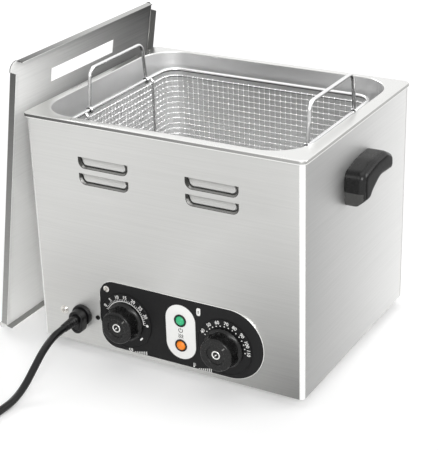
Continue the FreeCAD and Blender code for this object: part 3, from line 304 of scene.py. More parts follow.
# A deep-drawn and pickled tank: satin and slowly uneven, with painted shade high on its left
# and right rear.
finish("drawn_stainless_tank", ("#FEFEFE", "#F6F6F6"), blotches, (0.42, 0.5), fine_grit, 0.004,
       (greyer_near((7, 100, 290), (400, 180, 120), 0.55),
        greyer_near((175, 286, 290), (300, 120, 100), 0.45)), Metallic=1.0)
# The rim's turned face, as painted shade: a grey line under the bright one.
finish("rim_edge_painted_shade", ("#B8B8B6", "#ACACAA"), fine_grit, (0.4, 0.5),
       tones=(greyer_near((0, 0, 290), (420, 420, 420), 0.25),), Metallic=1.0)
# The rolled rim, polished by the roller: a tight bright streak along it. On the casing's front
# bends the same finish is a painted highlight.
finish("rolled_rim_and_fold_highlight", ("#F2F2F0", "#E8E8E6"), brushing, (0.24, 0.32), Metallic=1.0)
print("sheet finishes", len(FINISHES))

# %% [markdown]
# ## Wire, screws and the metals inside
#
# The basket is electropolished after welding, so its bars are nearly mirrors. Screws are plated
# or blackened steel, and inside the casing heat, air and water colour each metal in its way.

# %% Other metals
# Electropolished bar: a white line along its top, and painted shade that greys it underneath.
finish("polished_frame_bar", ("#FEFEFE", "#F8F8F8"), fine_grit, (0.16, 0.28),
       tones=(duller_below(0.1, 0.5),), Metallic=1.0)
# Electropolished wire, thinner than its own highlight: bright, with a little painted shade below.
finish("polished_mesh_wire", ("#FEFEFE", "#F8F8F8"), fine_grit, (0.16, 0.28),
       tones=(duller_below(0.6, 0.0),), Metallic=1.0)
# Nickel plate: a warm white metal.
finish("nickel_plated_screw", ("#E6E4E0", "#D3D0CB"), fine_grit, (0.15, 0.3), Metallic=1.0)
# Chemically blackened steel: nearly black, with a dull shine.
finish("blackened_screw", ("#2A2A29", "#1C1C1C"), fine_grit, (0.3, 0.4), Metallic=1.0)
# Chromed or bright-milled trim: close to a mirror.
finish("bright_chrome_trim", ("#F0F0EE", "#E2E2E0"), fine_grit, (0.08, 0.16), Metallic=1.0)
# A heater's steel sheath after some hours: brown and matt, in blotches.
finish("oxidised_heater_sheath", ("#77736B", "#4F4C46"), blotches, (0.4, 0.6), Metallic=1.0)
# Brass off the lathe: yellow, with a fine grit.
finish("turned_brass", ("#D9B766", "#B8924A"), fine_grit, (0.22, 0.35), Metallic=1.0)
# Drawn copper that has begun to brown.
finish("drawn_copper_bulb", ("#D8946F", "#A9623F"), blotches, (0.25, 0.4), Metallic=1.0)
print("metal finishes", len(FINISHES))

# %% [markdown]
# ## Print and film
#
# The panel is screen-printed aluminium: black ink, satin, with a faint orange peel. The label
# is a white film, and signs and numbers are printed on both.

# %% Print and film finishes
# Black screen ink on metal: deep, with little shine.
finish("satin_black_panel_ink", ("#111112", "#0D0D0E"), speckle, (0.46, 0.56), fine_grit, 0.01,
       Specular_IOR_Level=0.25)
# White polyester film: even and slightly glossy.
finish("white_printed_film", ("#F3F3F1", "#ECECEA"), speckle, (0.35, 0.45))
# White screen ink: chalky.
finish("white_screen_ink", ("#F8F8F6", "#EAEAE8"), speckle, (0.5, 0.6))
# The same ink where fingers wear it: grey.
finish("worn_pointer_ink", ("#80807E", "#6C6C6A"), speckle, (0.5, 0.6))
# Black ink on the film: a soft dark grey.
finish("black_screen_ink", ("#2A2A2A", "#1E1E1E"), speckle, (0.5, 0.6))
print("with print", len(FINISHES))

# %% [markdown]
# ## Plastics, rubber, ceramic and lenses
#
# Knobs and handles are pressed phenolic, which is hard and shines softly. The lamps are coloured
# acrylic: light enters and comes back tinted, which a little subsurface gives, and a thin coat
# gives the clear gloss on top.

# %% Plastic, rubber, ceramic and lens finishes
# Pressed phenolic: black, with a clean soft highlight.
finish("pressed_phenolic_knob", ("#131313", "#0E0E0E"), speckle, (0.22, 0.3), fine_grit, 0.003,
       Specular_IOR_Level=0.35)
# The same on the handles, a little coarser.
finish("moulded_phenolic_handle", ("#131313", "#0E0E0E"), speckle, (0.22, 0.28), fine_grit,
       0.004, Specular_IOR_Level=0.35)
# The grip's flat, a copy with its shine taken away as painted shade: black, hardly any shine.
finish("handle_side_painted_shade", ("#1A1A1A", "#151515"), speckle, (0.3, 0.38), fine_grit, 0.004,
       Specular_IOR_Level=0.05)
# The lowest part of each grip end, painted lighter as a painted sheen: grey and dry.
finish("handle_foot_painted_sheen", ("#4A4A49", "#424241"), speckle, (0.4, 0.5), fine_grit, 0.008,
       Specular_IOR_Level=0.2)
# Moulded nylon: black, with a waxy highlight.
finish("moulded_nylon_gland", ("#0F0F10", "#0A0A0B"), speckle, (0.3, 0.4), fine_grit, 0.006,
       Specular_IOR_Level=0.35)
# Extruded soft PVC: black, with a line of light along it.
finish("soft_pvc_cord", ("#101011", "#0B0B0C"), speckle, (0.28, 0.38), fine_grit, 0.006,
       Specular_IOR_Level=0.35)
# Moulded rubber: dark and matt.
finish("rubber_foot", ("#242424", "#1B1B1B"), speckle, (0.7, 0.85), fine_grit, 0.02)
# The moulded case of a timer or thermostat: brownish black.
finish("black_phenolic_case", ("#26221F", "#1C1917"), speckle, (0.4, 0.55), fine_grit, 0.02)
# Glazed steatite: creamy and glossy.
finish("glazed_white_ceramic", ("#F1EEE6", "#E2DED4"), speckle, (0.2, 0.3))
# Woven glass sleeve coated with silicone: pale and fuzzy.
finish("silicone_glass_sleeve", ("#C9C4B8", "#A9A497"), fine_grit, (0.6, 0.8), fine_grit, 0.05)
# Tinted acrylic: the colour comes from within, under a clear gloss.
finish("green_acrylic_lens", ("#20AC72", "#3CC68B"), speckle, (0.18, 0.28),
       Subsurface_Weight=0.3, Subsurface_Scale=0.002, Coat_Weight=0.25, Coat_Roughness=0.08)
# The same in orange, which scatters less.
finish("orange_acrylic_lens", ("#FF8200", "#FF9208"), speckle, (0.18, 0.28),
       Subsurface_Weight=0.1, Subsurface_Scale=0.002, Coat_Weight=0.25, Coat_Roughness=0.08)
print("finishes", len(FINISHES))

# %% [markdown]
# ## Surfaces as grids
#
# Most pieces here are a grid of points bent into shape: rings stacked along a profile, or a
# profile carried along a path. The grid gives its own faces. A closed piece is turned so that
# its signed volume is positive, which means that its faces point outwards.

# %% Faces of a grid


def quads(rows, cols, around=True, closed_rows=False):
    """Corners of each small square of a grid, row by row. around joins the last column to the
    first, and closed_rows the last row to the first."""
    r, c = np.meshgrid(np.arange(rows - (not closed_rows)), np.arange(cols - (not around)),
                       indexing="ij")
    r_next, c_next = (r + 1) % rows, (c + 1) % cols
    corners = (r * cols + c, r * cols + c_next, r_next * cols + c_next, r_next * cols + c)
    return np.stack(corners, -1).reshape(-1, 4)


def open_sheet(rows):
    """Rows of points as one open sheet of squares."""
    rows = np.asarray(rows, float)
    return rows.reshape(-1, 3), quads(*rows.shape[:2], around=False).tolist()


def joined(parts):
    """Several shapes as one list of points and faces."""
    points, faces, count = [], [], 0
    for part_points, part_faces in parts:
        points.append(part_points)
        faces += [[i + count for i in face] for face in part_faces]
        count += len(part_points)
    return np.vstack(points), faces


print("squares of a 3 x 4 grid", len(quads(3, 4, around=False)), "open,", len(quads(3, 4)),
      "when it goes round")

# %% Closed shapes


def volume(points, faces):
    """A sixth of the sum of corner . (next x last) over triangles, and squares count as two."""
    total = 0.0
    for count in {len(face) for face in faces}:
        corners = points[np.array([face for face in faces if len(face) == count])]
        for i in range(1, count - 1):
            normal = np.cross(corners[:, i], corners[:, i + 1])
            total += float(np.sum(corners[:, 0] * normal))
    return total / 6


def outward(points, faces):
    """The same closed shape with its faces turned to point outwards."""
    if volume(points - points.mean(0), faces) < 0:
        faces = [face[::-1] for face in faces]
    return points, faces


def stack(rings, first=None, last=None):
    """Rings of equal count joined row to row, each end closed by a fan to one point."""
    rings = np.asarray(rings, float)
    rows, cols = rings.shape[:2]
    first = rings[0].mean(0) if first is None else first
    last = rings[-1].mean(0) if last is None else last
    points = np.vstack((rings.reshape(-1, 3), [first, last]))
    c, c_next = np.arange(cols), (np.arange(cols) + 1) % cols
    top = (rows - 1) * cols
    fans = [np.stack((c_next, c, np.full(cols, rows * cols)), -1),
            np.stack((top + c, top + c_next, np.full(cols, rows * cols + 1)), -1)]
    return outward(points, quads(rows, cols).tolist() + fans[0].tolist() + fans[1].tolist())


cube = [[(0, 0, z), (1, 0, z), (1, 1, z), (0, 1, z)] for z in (0, 1)]
print("a unit cube's volume", volume(*stack(cube)))

# %% Outlines


def eased(share):
    """The S-curve 3 s^2 - 2 s^3, which leaves 0 and reaches 1 on the level."""
    return share * share * (3 - 2 * share)


def arc(centre, radius, start, end, steps=8):
    """Points (x, y) on a circle between two angles in degrees, both ends included."""
    a = np.radians(np.linspace(start, end, steps + 1))
    return np.stack((centre[0] + radius * np.cos(a), centre[1] + radius * np.sin(a)), -1)


def rounded_rectangle(left, low, right, high, corners, steps=8):
    """Four quarter circles joined by straight sides, anticlockwise from the right low corner.
    corners is one radius, or one for each corner in that order."""
    radii = np.broadcast_to(np.asarray(corners, float), 4)
    ends = ((right, low, -90), (right, high, 0), (left, high, 90), (left, low, 180))
    return np.vstack([arc((x - math.copysign(r, x - (left + right) / 2),
                           y - math.copysign(r, y - (low + high) / 2)), r, s, s + 90, steps)
                      for (x, y, s), r in zip(ends, radii)])


def stood(flat, y):
    """Points (x, z) of a drawing, stood parallel to the front wall and y behind it."""
    return np.column_stack((flat[:, 0], np.broadcast_to(y, len(flat)), flat[:, 1]))


def level_ring(left, front, right, back, corner, z, steps=8):
    """A rounded rectangle lying level at height z."""
    flat = rounded_rectangle(left, front, right, back, corner, steps)
    return np.column_stack((flat, np.full(len(flat), z)))


def upright_ring(left, low, right, high, corner, y, steps=8):
    """A rounded rectangle standing parallel to the front wall, y behind it."""
    return stood(rounded_rectangle(left, low, right, high, corner, steps), y)


print("points of a rounded rectangle", len(rounded_rectangle(0, 0, 2, 1, 0.2)))

# %% Tubes and turned shapes


def tube(path, radius, up, sides=12, closed=False, flat=1.0):
    """A bar along a path: with t the way along, n = up x t and b = t x n, its surface is
    path + radius (n cos a + flat b sin a)."""
    path = np.asarray(path, float)
    ahead = np.roll(path, -1, 0) - np.roll(path, 1, 0) if closed else np.gradient(path, axis=0)
    ahead = unit(ahead)
    n = unit(np.cross(np.asarray(up, float), ahead))
    b = np.cross(ahead, n)
    a = np.linspace(0, 2 * np.pi, sides, endpoint=False)[None, :, None]
    rings = path[:, None] + radius * (n[:, None] * np.cos(a) + flat * b[:, None] * np.sin(a))
    if closed:
        squares = quads(len(path), sides, closed_rows=True).tolist()
        return outward(rings.reshape(-1, 3), squares)
    return stack(rings)


def square_to(axis):
    """X, and Y or Z: the two level or upright lines square to an axis along Z or Y."""
    x_line = np.array((1.0, 0, 0))
    return x_line, np.abs(np.cross(x_line, axis))


def lathe(profile, centre, axis=(0, -1, 0), sides=64, radius_at=None):
    """A profile of (height along the axis, radius) turned once round it. radius_at(h, r, a) may
    change the radius with the angle a, which is zero at +X and grows towards +Z or +Y."""
    profile, centre, axis = (np.asarray(given, float) for given in (profile, centre, axis))
    one, two = square_to(axis)
    a = np.linspace(0, 2 * np.pi, sides, endpoint=False)[None, :]
    reach = np.broadcast_to(profile[:, 1:], (len(profile), sides))
    if radius_at:
        reach = radius_at(profile[:, :1], reach, a)
    rings = (centre + profile[:, :1, None] * axis
             + reach[..., None] * (np.cos(a)[..., None] * one + np.sin(a)[..., None] * two))
    return stack(rings, *[centre + height * axis for height in profile[[0, -1], 0]])


print("a disc of 64 sides holds", round(volume(*lathe(((0, 1), (1, 1)), (0, 0, 0))), 4),
      "and a round one", round(math.pi, 4))

# %% [markdown]
# ## From points to a piece
#
# A piece is one mesh in the shared frame. It rides on a body and stands for the solids that it
# replaces. Edges sharper than 35 degrees stay sharp.

# %% Making a piece
SHARP = math.radians(35)


def mesh_arrays(mesh):
    """A mesh's points as an array and its faces as lists of point numbers."""
    points = np.empty(len(mesh.vertices) * 3)
    mesh.vertices.foreach_get("co", points)
    return points.reshape(-1, 3), [list(face.vertices) for face in mesh.polygons]


def as_mesh(obj):
    """An object's shape, with its modifiers or its lettering worked out, as a new mesh."""
    graph = bpy.context.evaluated_depsgraph_get()
    return bpy.data.meshes.new_from_object(obj.evaluated_get(graph))


def piece(name, part, finish_name, body, replaces=(), thick=0):
    """A mesh piece in its place. thick gives a sheet a wall of so many mm behind it."""
    points, faces = part
    mesh = bpy.data.meshes.new(name)
    mesh.from_pydata(metres(points).tolist(), [], faces)
    mesh.update()
    mesh.materials.append(FINISHES[finish_name])
    obj = new_object(name, mesh)
    if thick:
        wall = obj.modifiers.new("wall", "SOLIDIFY")
        wall.thickness, wall.offset, wall.use_even_offset = thick / 1000, -1, True
        walled = as_mesh(obj)
        obj.modifiers.clear()
        obj.data = walled
    obj.data.shade_smooth()
    obj.data.set_sharp_from_angle(angle=SHARP)
    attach(obj, body)
    if replaces:
        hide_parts(*replaces)
    measured = volume(*mesh_arrays(obj.data)) * 1e6
    print("%-24s %6d faces %9.2f cm3" % (name, len(obj.data.polygons), measured))
    return obj


print("edges stay sharp from", round(math.degrees(SHARP)), "degrees")

# %% Another finish for some faces
# A unit normal's share along a line: above FACING it looks along that line, and below SQUARE it
# stands more or less square to it.
FACING, SQUARE = 0.9, 0.5


def refinish(obj, finish_name, chosen):
    """Gives another finish to the faces that chosen(centres in mm, normals) picks."""
    polygons = obj.data.polygons
    centres, normals = np.empty(len(polygons) * 3), np.empty(len(polygons) * 3)
    polygons.foreach_get("center", centres)
    polygons.foreach_get("normal", normals)
    picked = chosen((centres.reshape(-1, 3) - CORNER) * 1000, normals.reshape(-1, 3))
    indices = np.empty(len(polygons), np.int32)
    polygons.foreach_get("material_index", indices)
    obj.data.materials.append(FINISHES[finish_name])
    indices[picked] = len(obj.data.materials) - 1
    polygons.foreach_set("material_index", indices)
    print("%-24s %6d faces in %s" % (obj.name, picked.sum(), finish_name))


def box_of(node):
    """The lowest and highest corners of a solid, in casing millimetres."""
    return [(np.array(corner) - CORNER) * 1000 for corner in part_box(node)]


print("tank box in mm", [np.round(side, 1).tolist() for side in box_of("tank")])

# %% [markdown]
# ## The casing
#
# Front and sides are one sheet, folded round two front corners, with narrow returns at the
# back that carry the rear panel. A brake fold leaves a radius, and that radius is what catches
# the light. The plan outline is a line through (x, y), and carried upwards it is the whole wall.
# The front is flat, so it only needs lines where a louvre's block of squares is left out. The
# front, the sides painted lighter and the folds with a painted highlight are one skin, so each
# is picked out of it later by where its faces are and which way they look.

# %% Casing wall
BEND, STEEL, RETURN, REAR_BEND = 6.0, 1.0, 12.0, 2.0
SIDE_REAR, SIDE_FRONT, SIDE_LINES = 12.0, 16.0, 6
LOUVRE_LEFTS, LOUVRE_LOWS = (71.0, 214.0), (214.0, 234.3)
LOUVRE_W, LOUVRE_TALL, LOUVRE_ROUND = 68.0, 14.0, 8.5
BLOCK_EDGE, BLOCK_COLS, BLOCK_ROWS = 2.0, 30, 10


def spaced(*stops):
    """Values from stop to stop: each pair of stops has the number of steps given between."""
    runs = [np.linspace(a, b, int(n) + 1)[:-1] for a, n, b in
            zip(stops[0:-2:2], stops[1:-1:2], stops[2::2])]
    return np.concatenate(runs + [[stops[-1]]])


def block(left, low):
    """The rectangle of plain front round one louvre: its left, low, right and top."""
    return (left - BLOCK_EDGE, low - BLOCK_EDGE, left + LOUVRE_W + BLOCK_EDGE,
            low + LOUVRE_TALL + BLOCK_EDGE)


def casing_wall():
    """A plan outline carried up the wall's height, without the blocks of the louvres."""
    (left_1, _, right_1, _), (left_2, _, right_2, _) = (block(x, 0) for x in LOUVRE_LEFTS)
    (_, low_1, _, top_1), (_, low_2, _, top_2) = (block(0, z) for z in LOUVRE_LOWS)
    front_x = spaced(BEND, 4, left_1, BLOCK_COLS, right_1, 4, left_2, BLOCK_COLS, right_2, 4,
                     CASE_W - BEND)[1:-1]
    rear = CASE_D - STEEL
    side_y = np.linspace(rear - SIDE_REAR, SIDE_FRONT, SIDE_LINES)
    left_half = np.vstack((((RETURN, rear),),
                           arc((REAR_BEND, rear - REAR_BEND), REAR_BEND, 90, 180),
                           np.column_stack((np.zeros(SIDE_LINES), side_y)),
                           arc((BEND, BEND), BEND, 180, 270, 10)))
    plan = np.vstack((left_half, np.column_stack((front_x, np.zeros(len(front_x)))),
                      left_half[::-1] * (-1, 1) + (CASE_W, 0)))
    z = spaced(0, 6, low_1, BLOCK_ROWS, top_1, 1, low_2, BLOCK_ROWS, top_2, 4, CASE_H)
    grid = np.empty((len(z), len(plan), 3))
    grid[..., :2] = plan
    grid[..., 2] = z[:, None]
    points, faces = open_sheet(grid)
    faces = np.array(faces)
    x, y, z = points[faces].mean(1).T
    cut = np.zeros(len(faces), bool)
    for louvre_left in LOUVRE_LEFTS:
        for louvre_low in LOUVRE_LOWS:
            left, low, right, top = block(louvre_left, louvre_low)
            cut |= (y < STEEL) & (x > left) & (x < right) & (z > low) & (z < top)
    return points, faces[~cut].tolist()


print("first block left out", block(LOUVRE_LEFTS[0], LOUVRE_LOWS[0]))

# %% [markdown]
# ## Louvres
#
# A louvre is lanced on three sides and pressed inwards: the sheet slopes in from a rounded
# outline on its left, bottom and right, an air slot follows that slope's foot, and a flap rises
# from the slot to a fold at the top. Every row is the outline drawn in by d, where d is also
# what sets the depth: an S-curve of d over the slope's width, less wide at the bottom. Shade
# is painted on: a dark line where the slope starts, a darker slope, and a dark line at its
# foot, so the rows are shared out among three pieces with a finish each.

# %% A louvre's outline and depth
LOUVRE_DEEP, SIDE_SLOPE, FOOT_SLOPE, LOUVRE_SLOT = 3.0, 3.5, 2.6, 1.1
SIDE_POINTS, TURN_STEPS, LEAST_ROUND = 5, 12, 2.0


def louvre_outline(inset):
    """Points from the fold down the left, round the bottom and up the right, drawn in by
    inset at the bottom and by inset x SIDE_SLOPE / FOOT_SLOPE at the sides."""
    aside = inset * SIDE_SLOPE / FOOT_SLOPE
    left, right, low, top = aside, LOUVRE_W - aside, inset, LOUVRE_TALL
    corner = max(LOUVRE_ROUND - inset, LEAST_ROUND)
    side = np.linspace(top, low + corner, SIDE_POINTS)[:-1]
    half = np.vstack((np.column_stack((np.full(len(side), left), side)),
                      arc((left + corner, low + corner), corner, 180, 270, TURN_STEPS)))
    middle = np.linspace(left + corner, right - corner, BLOCK_COLS - TURN_STEPS + 1)[1:-1]
    mirror = half[::-1] * (-1, 1) + (LOUVRE_W, 0)
    return np.vstack((half, np.column_stack((middle, np.full(len(middle), low))), mirror))


def flap_depth(height):
    """Full at the slot and nothing at the fold: deep x (1 - share cubed)."""
    share = np.clip(height - FOOT_SLOPE - LOUVRE_SLOT, 0, None)
    return LOUVRE_DEEP * (1 - (share / (LOUVRE_TALL - FOOT_SLOPE - LOUVRE_SLOT)) ** 3)


print("points of a louvre's outline", len(louvre_outline(0)), "and its depth", flap_depth(0))

# %% The three sheets of a louvre


def at_depth(flat, deep, left, low):
    """Louvre points (x, height), moved to their louvre and set deep behind the front."""
    return stood(flat + (left, low), np.maximum(deep, 0))


def louvre_slope(left, low, shares):
    """Rows of the outline drawn in by each share of the slope's width."""
    rows = []
    for share in shares:
        flat = louvre_outline(share * FOOT_SLOPE)
        deep = np.minimum(LOUVRE_DEEP * eased(share), flap_depth(flat[:, 1]))
        rows.append(at_depth(flat, deep, left, low))
    return open_sheet(rows)


def louvre_flap(left, low):
    """Lines from each point of the slot's inner edge to its own place on the fold."""
    edge = louvre_outline(FOOT_SLOPE + LOUVRE_SLOT)
    fold = np.column_stack((np.linspace(edge[0, 0], edge[-1, 0], len(edge)),
                            np.full(len(edge), LOUVRE_TALL)))
    flats = [edge + share * (fold - edge) for share in np.linspace(0, 1, 9)]
    return open_sheet([at_depth(flat, flap_depth(flat[:, 1]), left, low) for flat in flats])


def louvre_surround(left, low):
    """The flat front between a louvre's outline and the edge of its block."""
    x = np.linspace(-BLOCK_EDGE, LOUVRE_W + BLOCK_EDGE, BLOCK_COLS + 1)
    z = np.linspace(-BLOCK_EDGE, LOUVRE_TALL + BLOCK_EDGE, BLOCK_ROWS + 1)
    down = np.column_stack((np.full(BLOCK_ROWS, x[0]), z[:0:-1]))
    along = np.column_stack((x, np.full(len(x), z[0])))
    up = np.column_stack((np.full(BLOCK_ROWS, x[-1]), z[1:]))
    over = np.column_stack((x[-2:0:-1], np.full(len(x) - 2, z[-1])))
    fold = np.column_stack((np.linspace(LOUVRE_W, 0, len(over) + 2)[1:-1],
                            np.full(len(over), LOUVRE_TALL)))
    outer, inner = np.vstack((down, along, up, over)), np.vstack((louvre_outline(0), fold))
    rows = [at_depth(flat, 0, left, low) for flat in (outer, inner)]
    return np.vstack(rows), quads(2, len(outer)).tolist()


def welded(part, facing):
    """The same sheet with coinciding points made one and all faces turned the same way, so
    that most of them look along facing."""
    points, faces = part
    shape = bmesh.new()
    corners = [shape.verts.new(point) for point in points]
    for face in faces:
        shape.faces.new([corners[i] for i in face])
    bmesh.ops.remove_doubles(shape, verts=shape.verts, dist=0.01)
    bmesh.ops.recalc_face_normals(shape, faces=shape.faces)
    shape.verts.index_update()
    along = sum(face.normal.dot(Vector(facing)) * face.calc_area() for face in shape.faces)
    step = 1 if along > 0 else -1
    kept = np.array([vert.co for vert in shape.verts])
    turned = [[vert.index for vert in face.verts][::step] for face in shape.faces]
    shape.free()
    return kept, turned


print("squares round one louvre", len(louvre_surround(0, 0)[1]))

# %% Choosing faces of the casing
END_MIDDLE, END_REACH, END_FROM = 2.0, 2.5, 8.0
STRAIGHT_ON, BENT_FROM, CREST_FROM = 0.98, 0.1, 0.25
LOUVRES = [(left, low) for left in LOUVRE_LEFTS for low in LOUVRE_LOWS]


def at_a_left_end(centres, normals):
    """The upper part of each louvre's left end, which takes painted shade."""
    picked = np.zeros(len(centres), bool)
    for left, low in LOUVRES:
        picked |= ((np.abs(centres[:, 0] - left - END_MIDDLE) < END_REACH)
                   & (centres[:, 2] > low + END_FROM))
    return picked


def on_a_side(centres, normals):
    """Faces that look straight to the left or the right."""
    return np.abs(normals[:, 0]) > STRAIGHT_ON


def on_the_fold(centres, normals, bent=BENT_FROM):
    """Faces of the two front bends. The product of the normal's X and Y is 0 on the flats and
    0.5 in the middle of a bend."""
    return ((np.abs(centres[:, 0] - CASE_W / 2) > CASE_W / 2 - BEND) & (centres[:, 1] < BEND)
            & (np.abs(normals[:, 0] * normals[:, 1]) > bent))


def on_the_fold_crest(centres, normals):
    """The middle of each bend, where the painted highlight is white."""
    return on_the_fold(centres, normals, CREST_FROM)


print("louvres at", LOUVRES)

# %% Casing and louvres
SLOPE_ROWS, LOUVRE_STEEL = 7, 0.8
shell = [casing_wall()] + [louvre_surround(*louvre) for louvre in LOUVRES]
casing = piece("casing_shell", welded(joined(shell), (0, -1, 0)), "brushed_stainless_casing",
               "boiler", ("casing_wrap",), thick=STEEL)
# The sides take a copy of the sheet painted lighter.
refinish(casing, "brushed_side_painted_light", on_a_side)
# The front bends take a painted highlight: a bright band over each, white in its middle.
refinish(casing, "rolled_rim_and_fold_highlight", on_the_fold)
refinish(casing, "fold_painted_highlight", on_the_fold_crest)
flaps = [welded(louvre_flap(*louvre), (0, -1, 0)) for louvre in LOUVRES]
piece("louvre_flaps", joined(flaps), "brushed_stainless_casing", "boiler",
      thick=LOUVRE_STEEL)
# Painted shade: dark rows where the slope starts and by the slot, a darker slope between, and dark
# upper left ends.
for name, finish_name, first, last in (("louvre_creases", "louvre_edge_painted_shade", 0.0, 0.2),
                                       ("louvre_slopes", "louvre_slope_painted_shade", 0.2, 0.72),
                                       ("louvre_cuts", "louvre_edge_painted_shade", 0.72, 1.0)):
    shares = np.linspace(first, last, SLOPE_ROWS)
    slopes = [welded(louvre_slope(*louvre, shares), (0, -1, 0)) for louvre in LOUVRES]
    slopes = piece(name, joined(slopes), finish_name, "boiler",
                   thick=LOUVRE_STEEL)
    refinish(slopes, "louvre_edge_painted_shade", at_a_left_end)

# %% [markdown]
# ## The tank and its rim
#
# The tank is deep-drawn: pressed from one blank, so every edge has a radius. Seen as rings, it
# starts under the rim's turned edge, climbs round it, crosses the flat ledge, rolls into the
# opening and runs down the wall to a rounded foot. Each ring is a rounded rectangle, and the
# corner radius grows from the casing's to the opening's on the way.

# %% Tank
OPENING = (7.5, 9.5, 346.5, 286.0)
RIM = (-3.0, -3.0, 363.0, 293.0)
RIM_TOP, RIM_EDGE, RIM_BEAD, RIM_ROUND, RIM_TURN = 292.0, 287.0, 288.0, 8.0, 2.2
OPEN_ROUND, LIP_ROUND, TANK_FLOOR, TANK_FOOT, TANK_STEEL = 48.0, 1.5, 113.2, 18.0, 1.2
WALL_LINES = ((0, 230.0), (0, 180.0))
TANK_CORNER_STEPS, LEAST_CORNER, EDGE_BELOW = 16, 0.5, 0.8


def tank_ring(base, inset, corner, z):
    """A level ring drawn in by inset from the outline of the rim or of the opening."""
    left, front, right, back = base
    return level_ring(left + inset, front + inset, right - inset, back - inset,
                      max(corner - inset, LEAST_CORNER), z, TANK_CORNER_STEPS)


def tank():
    """Rings from the rim's edge to the floor, and a fan that closes the floor."""
    rim = [(0, RIM_EDGE), (0, RIM_BEAD),
           *arc((RIM_TURN, RIM_TOP - RIM_TURN), RIM_TURN, 180, 90, 5)]
    wall = [*arc((-LIP_ROUND, RIM_TOP - LIP_ROUND), LIP_ROUND, 90, 0, 5), *WALL_LINES,
            *arc((TANK_FOOT, TANK_FLOOR + TANK_FOOT), TANK_FOOT, 180, 270, 8)]
    rows = [tank_ring(RIM, inset, RIM_ROUND, z) for inset, z in rim]
    rows += [tank_ring(OPENING, inset, OPEN_ROUND, z) for inset, z in wall]
    count = len(rows[0])
    c, last = np.arange(count), (len(rows) - 1) * count
    fan = np.stack((last + c, last + (c + 1) % count, np.full(count, last + count)), -1)
    points = np.vstack(rows + [rows[-1].mean(0)[None]])
    return points, quads(len(rows), count).tolist() + fan.tolist()


def on_ledge(centres, normals):
    """Everything above the foot of the lip, which is the ledge and the rim's turned edge."""
    return centres[:, 2] > RIM_EDGE


def on_turned_edge(centres, normals):
    """The rim's front and right edges, between its bead and the round-over."""
    return ((centres[:, 2] > RIM_BEAD) & (centres[:, 2] < RIM_TOP - EDGE_BELOW)
            & (np.abs(normals[:, 2]) < SQUARE)
            & ((centres[:, 1] < 0) | (centres[:, 0] > CASE_W)))


boiler_tank = piece("drawn_tank", tank(), "drawn_stainless_tank", "boiler", ("tank",),
                    thick=TANK_STEEL)
refinish(boiler_tank, "rolled_rim_and_fold_highlight", on_ledge)
# Painted shade: a grey band on the rim's front and right edges, under the ledge.
refinish(boiler_tank, "rim_edge_painted_shade", on_turned_edge)

# %% [markdown]
# ## The lid
#
# A pressed cover: a flat plate whose four edges are folded up into skirts, with the corners
# left open so that the sheet does not have to stretch. Drawn in the plate's own plane, x runs
# along the depth, y up the plate and z towards the boiler, and a turn by the lean stands it up.
# The inside is matt and painted paler, with painted shade towards its upper rear, and the
# skirts are painted darker, so both have a finish of their own.

# %% The lid's sheet
LID_W, LID_TALL, LID_SKIRT = 306.5, 366.2, 9.3
LID_ROUND, LID_NOTCH, LID_BEND = 10.0, 12.0, 1.8
LID_LEAN = math.radians(8.74)
LID_CORNER = (-65.6, -6.8, LID_SKIRT * math.sin(LID_LEAN) + FLOOR)
LID_SLOT = (82.8, 317.3, 218.4, 335.3)


def on_lid(x, y, z):
    """x along +Y, y up the leaning plate, z square to it towards the boiler."""
    x, y, z = np.broadcast_arrays(x, y, z)
    sine, cosine = math.sin(LID_LEAN), math.cos(LID_LEAN)
    return np.stack((y * sine + z * cosine, x, y * cosine - z * sine), -1) + LID_CORNER


def lid_lines(size, *between):
    """Where the plate's grid lines run: at its bends and notches, and at places between."""
    return np.array((LID_BEND, LID_NOTCH, *between, size - LID_NOTCH, size - LID_BEND))


def lid_plate(across, up):
    """A grid of plate with the slot and the four corners left out."""
    xs, ys = np.meshgrid(across, up)
    points, faces = open_sheet(on_lid(xs, ys, 0))
    faces = np.array(faces)
    x, y = xs.reshape(-1)[faces].mean(1), ys.reshape(-1)[faces].mean(1)
    left, low, right, high = LID_SLOT
    slot = (x > left) & (x < right) & (y > low) & (y < high)
    corner = ((np.abs(x - LID_W / 2) > LID_W / 2 - LID_NOTCH)
              & (np.abs(y - LID_TALL / 2) > LID_TALL / 2 - LID_NOTCH))
    return points, faces[~slot & ~corner][:, ::-1].tolist()


def lid_skirt(edge, runs):
    """The strip folded up along one edge: 0 and 2 run up the plate, 1 and 3 across it."""
    fold = np.vstack((arc((LID_BEND, LID_BEND), LID_BEND, 270, 180, 6), ((0, LID_SKIRT),)))
    out, run = np.meshgrid(fold[:, 0], runs, indexing="ij")
    x, y = (run, out) if edge % 2 else (out, run)
    x = LID_W - x if edge == 2 else x
    y = LID_TALL - y if edge == 3 else y
    points, faces = open_sheet(on_lid(x, y, fold[:, 1:]))
    return points, [face[::-1] for face in faces] if edge in (1, 2) else faces


def lid_corner(x_side, y_side):
    """One flat rounded corner of the plate, on its right if x_side and its top if y_side."""
    flat = np.vstack((((LID_NOTCH, 0),), arc((LID_ROUND, LID_ROUND), LID_ROUND, 270, 180, 8),
                      ((0, LID_NOTCH), (LID_NOTCH, LID_NOTCH))))
    x = LID_W - flat[:, 0] if x_side else flat[:, 0]
    y = LID_TALL - flat[:, 1] if y_side else flat[:, 1]
    order = list(range(len(flat)))
    return on_lid(x, y, 0), [order if x_side == y_side else order[::-1]]


print("the lid's upper edge leans to", np.round(on_lid(0, LID_TALL, 0), 1))

# %% Lid
LID_NORMAL = (math.cos(LID_LEAN), 0, -math.sin(LID_LEAN))


def inside_the_lid(centres, normals):
    """Faces of the plate that look towards the boiler."""
    return normals @ LID_NORMAL > FACING


def on_a_skirt(centres, normals):
    """Faces that stand more or less square to the plate."""
    return np.abs(normals @ LID_NORMAL) < SQUARE


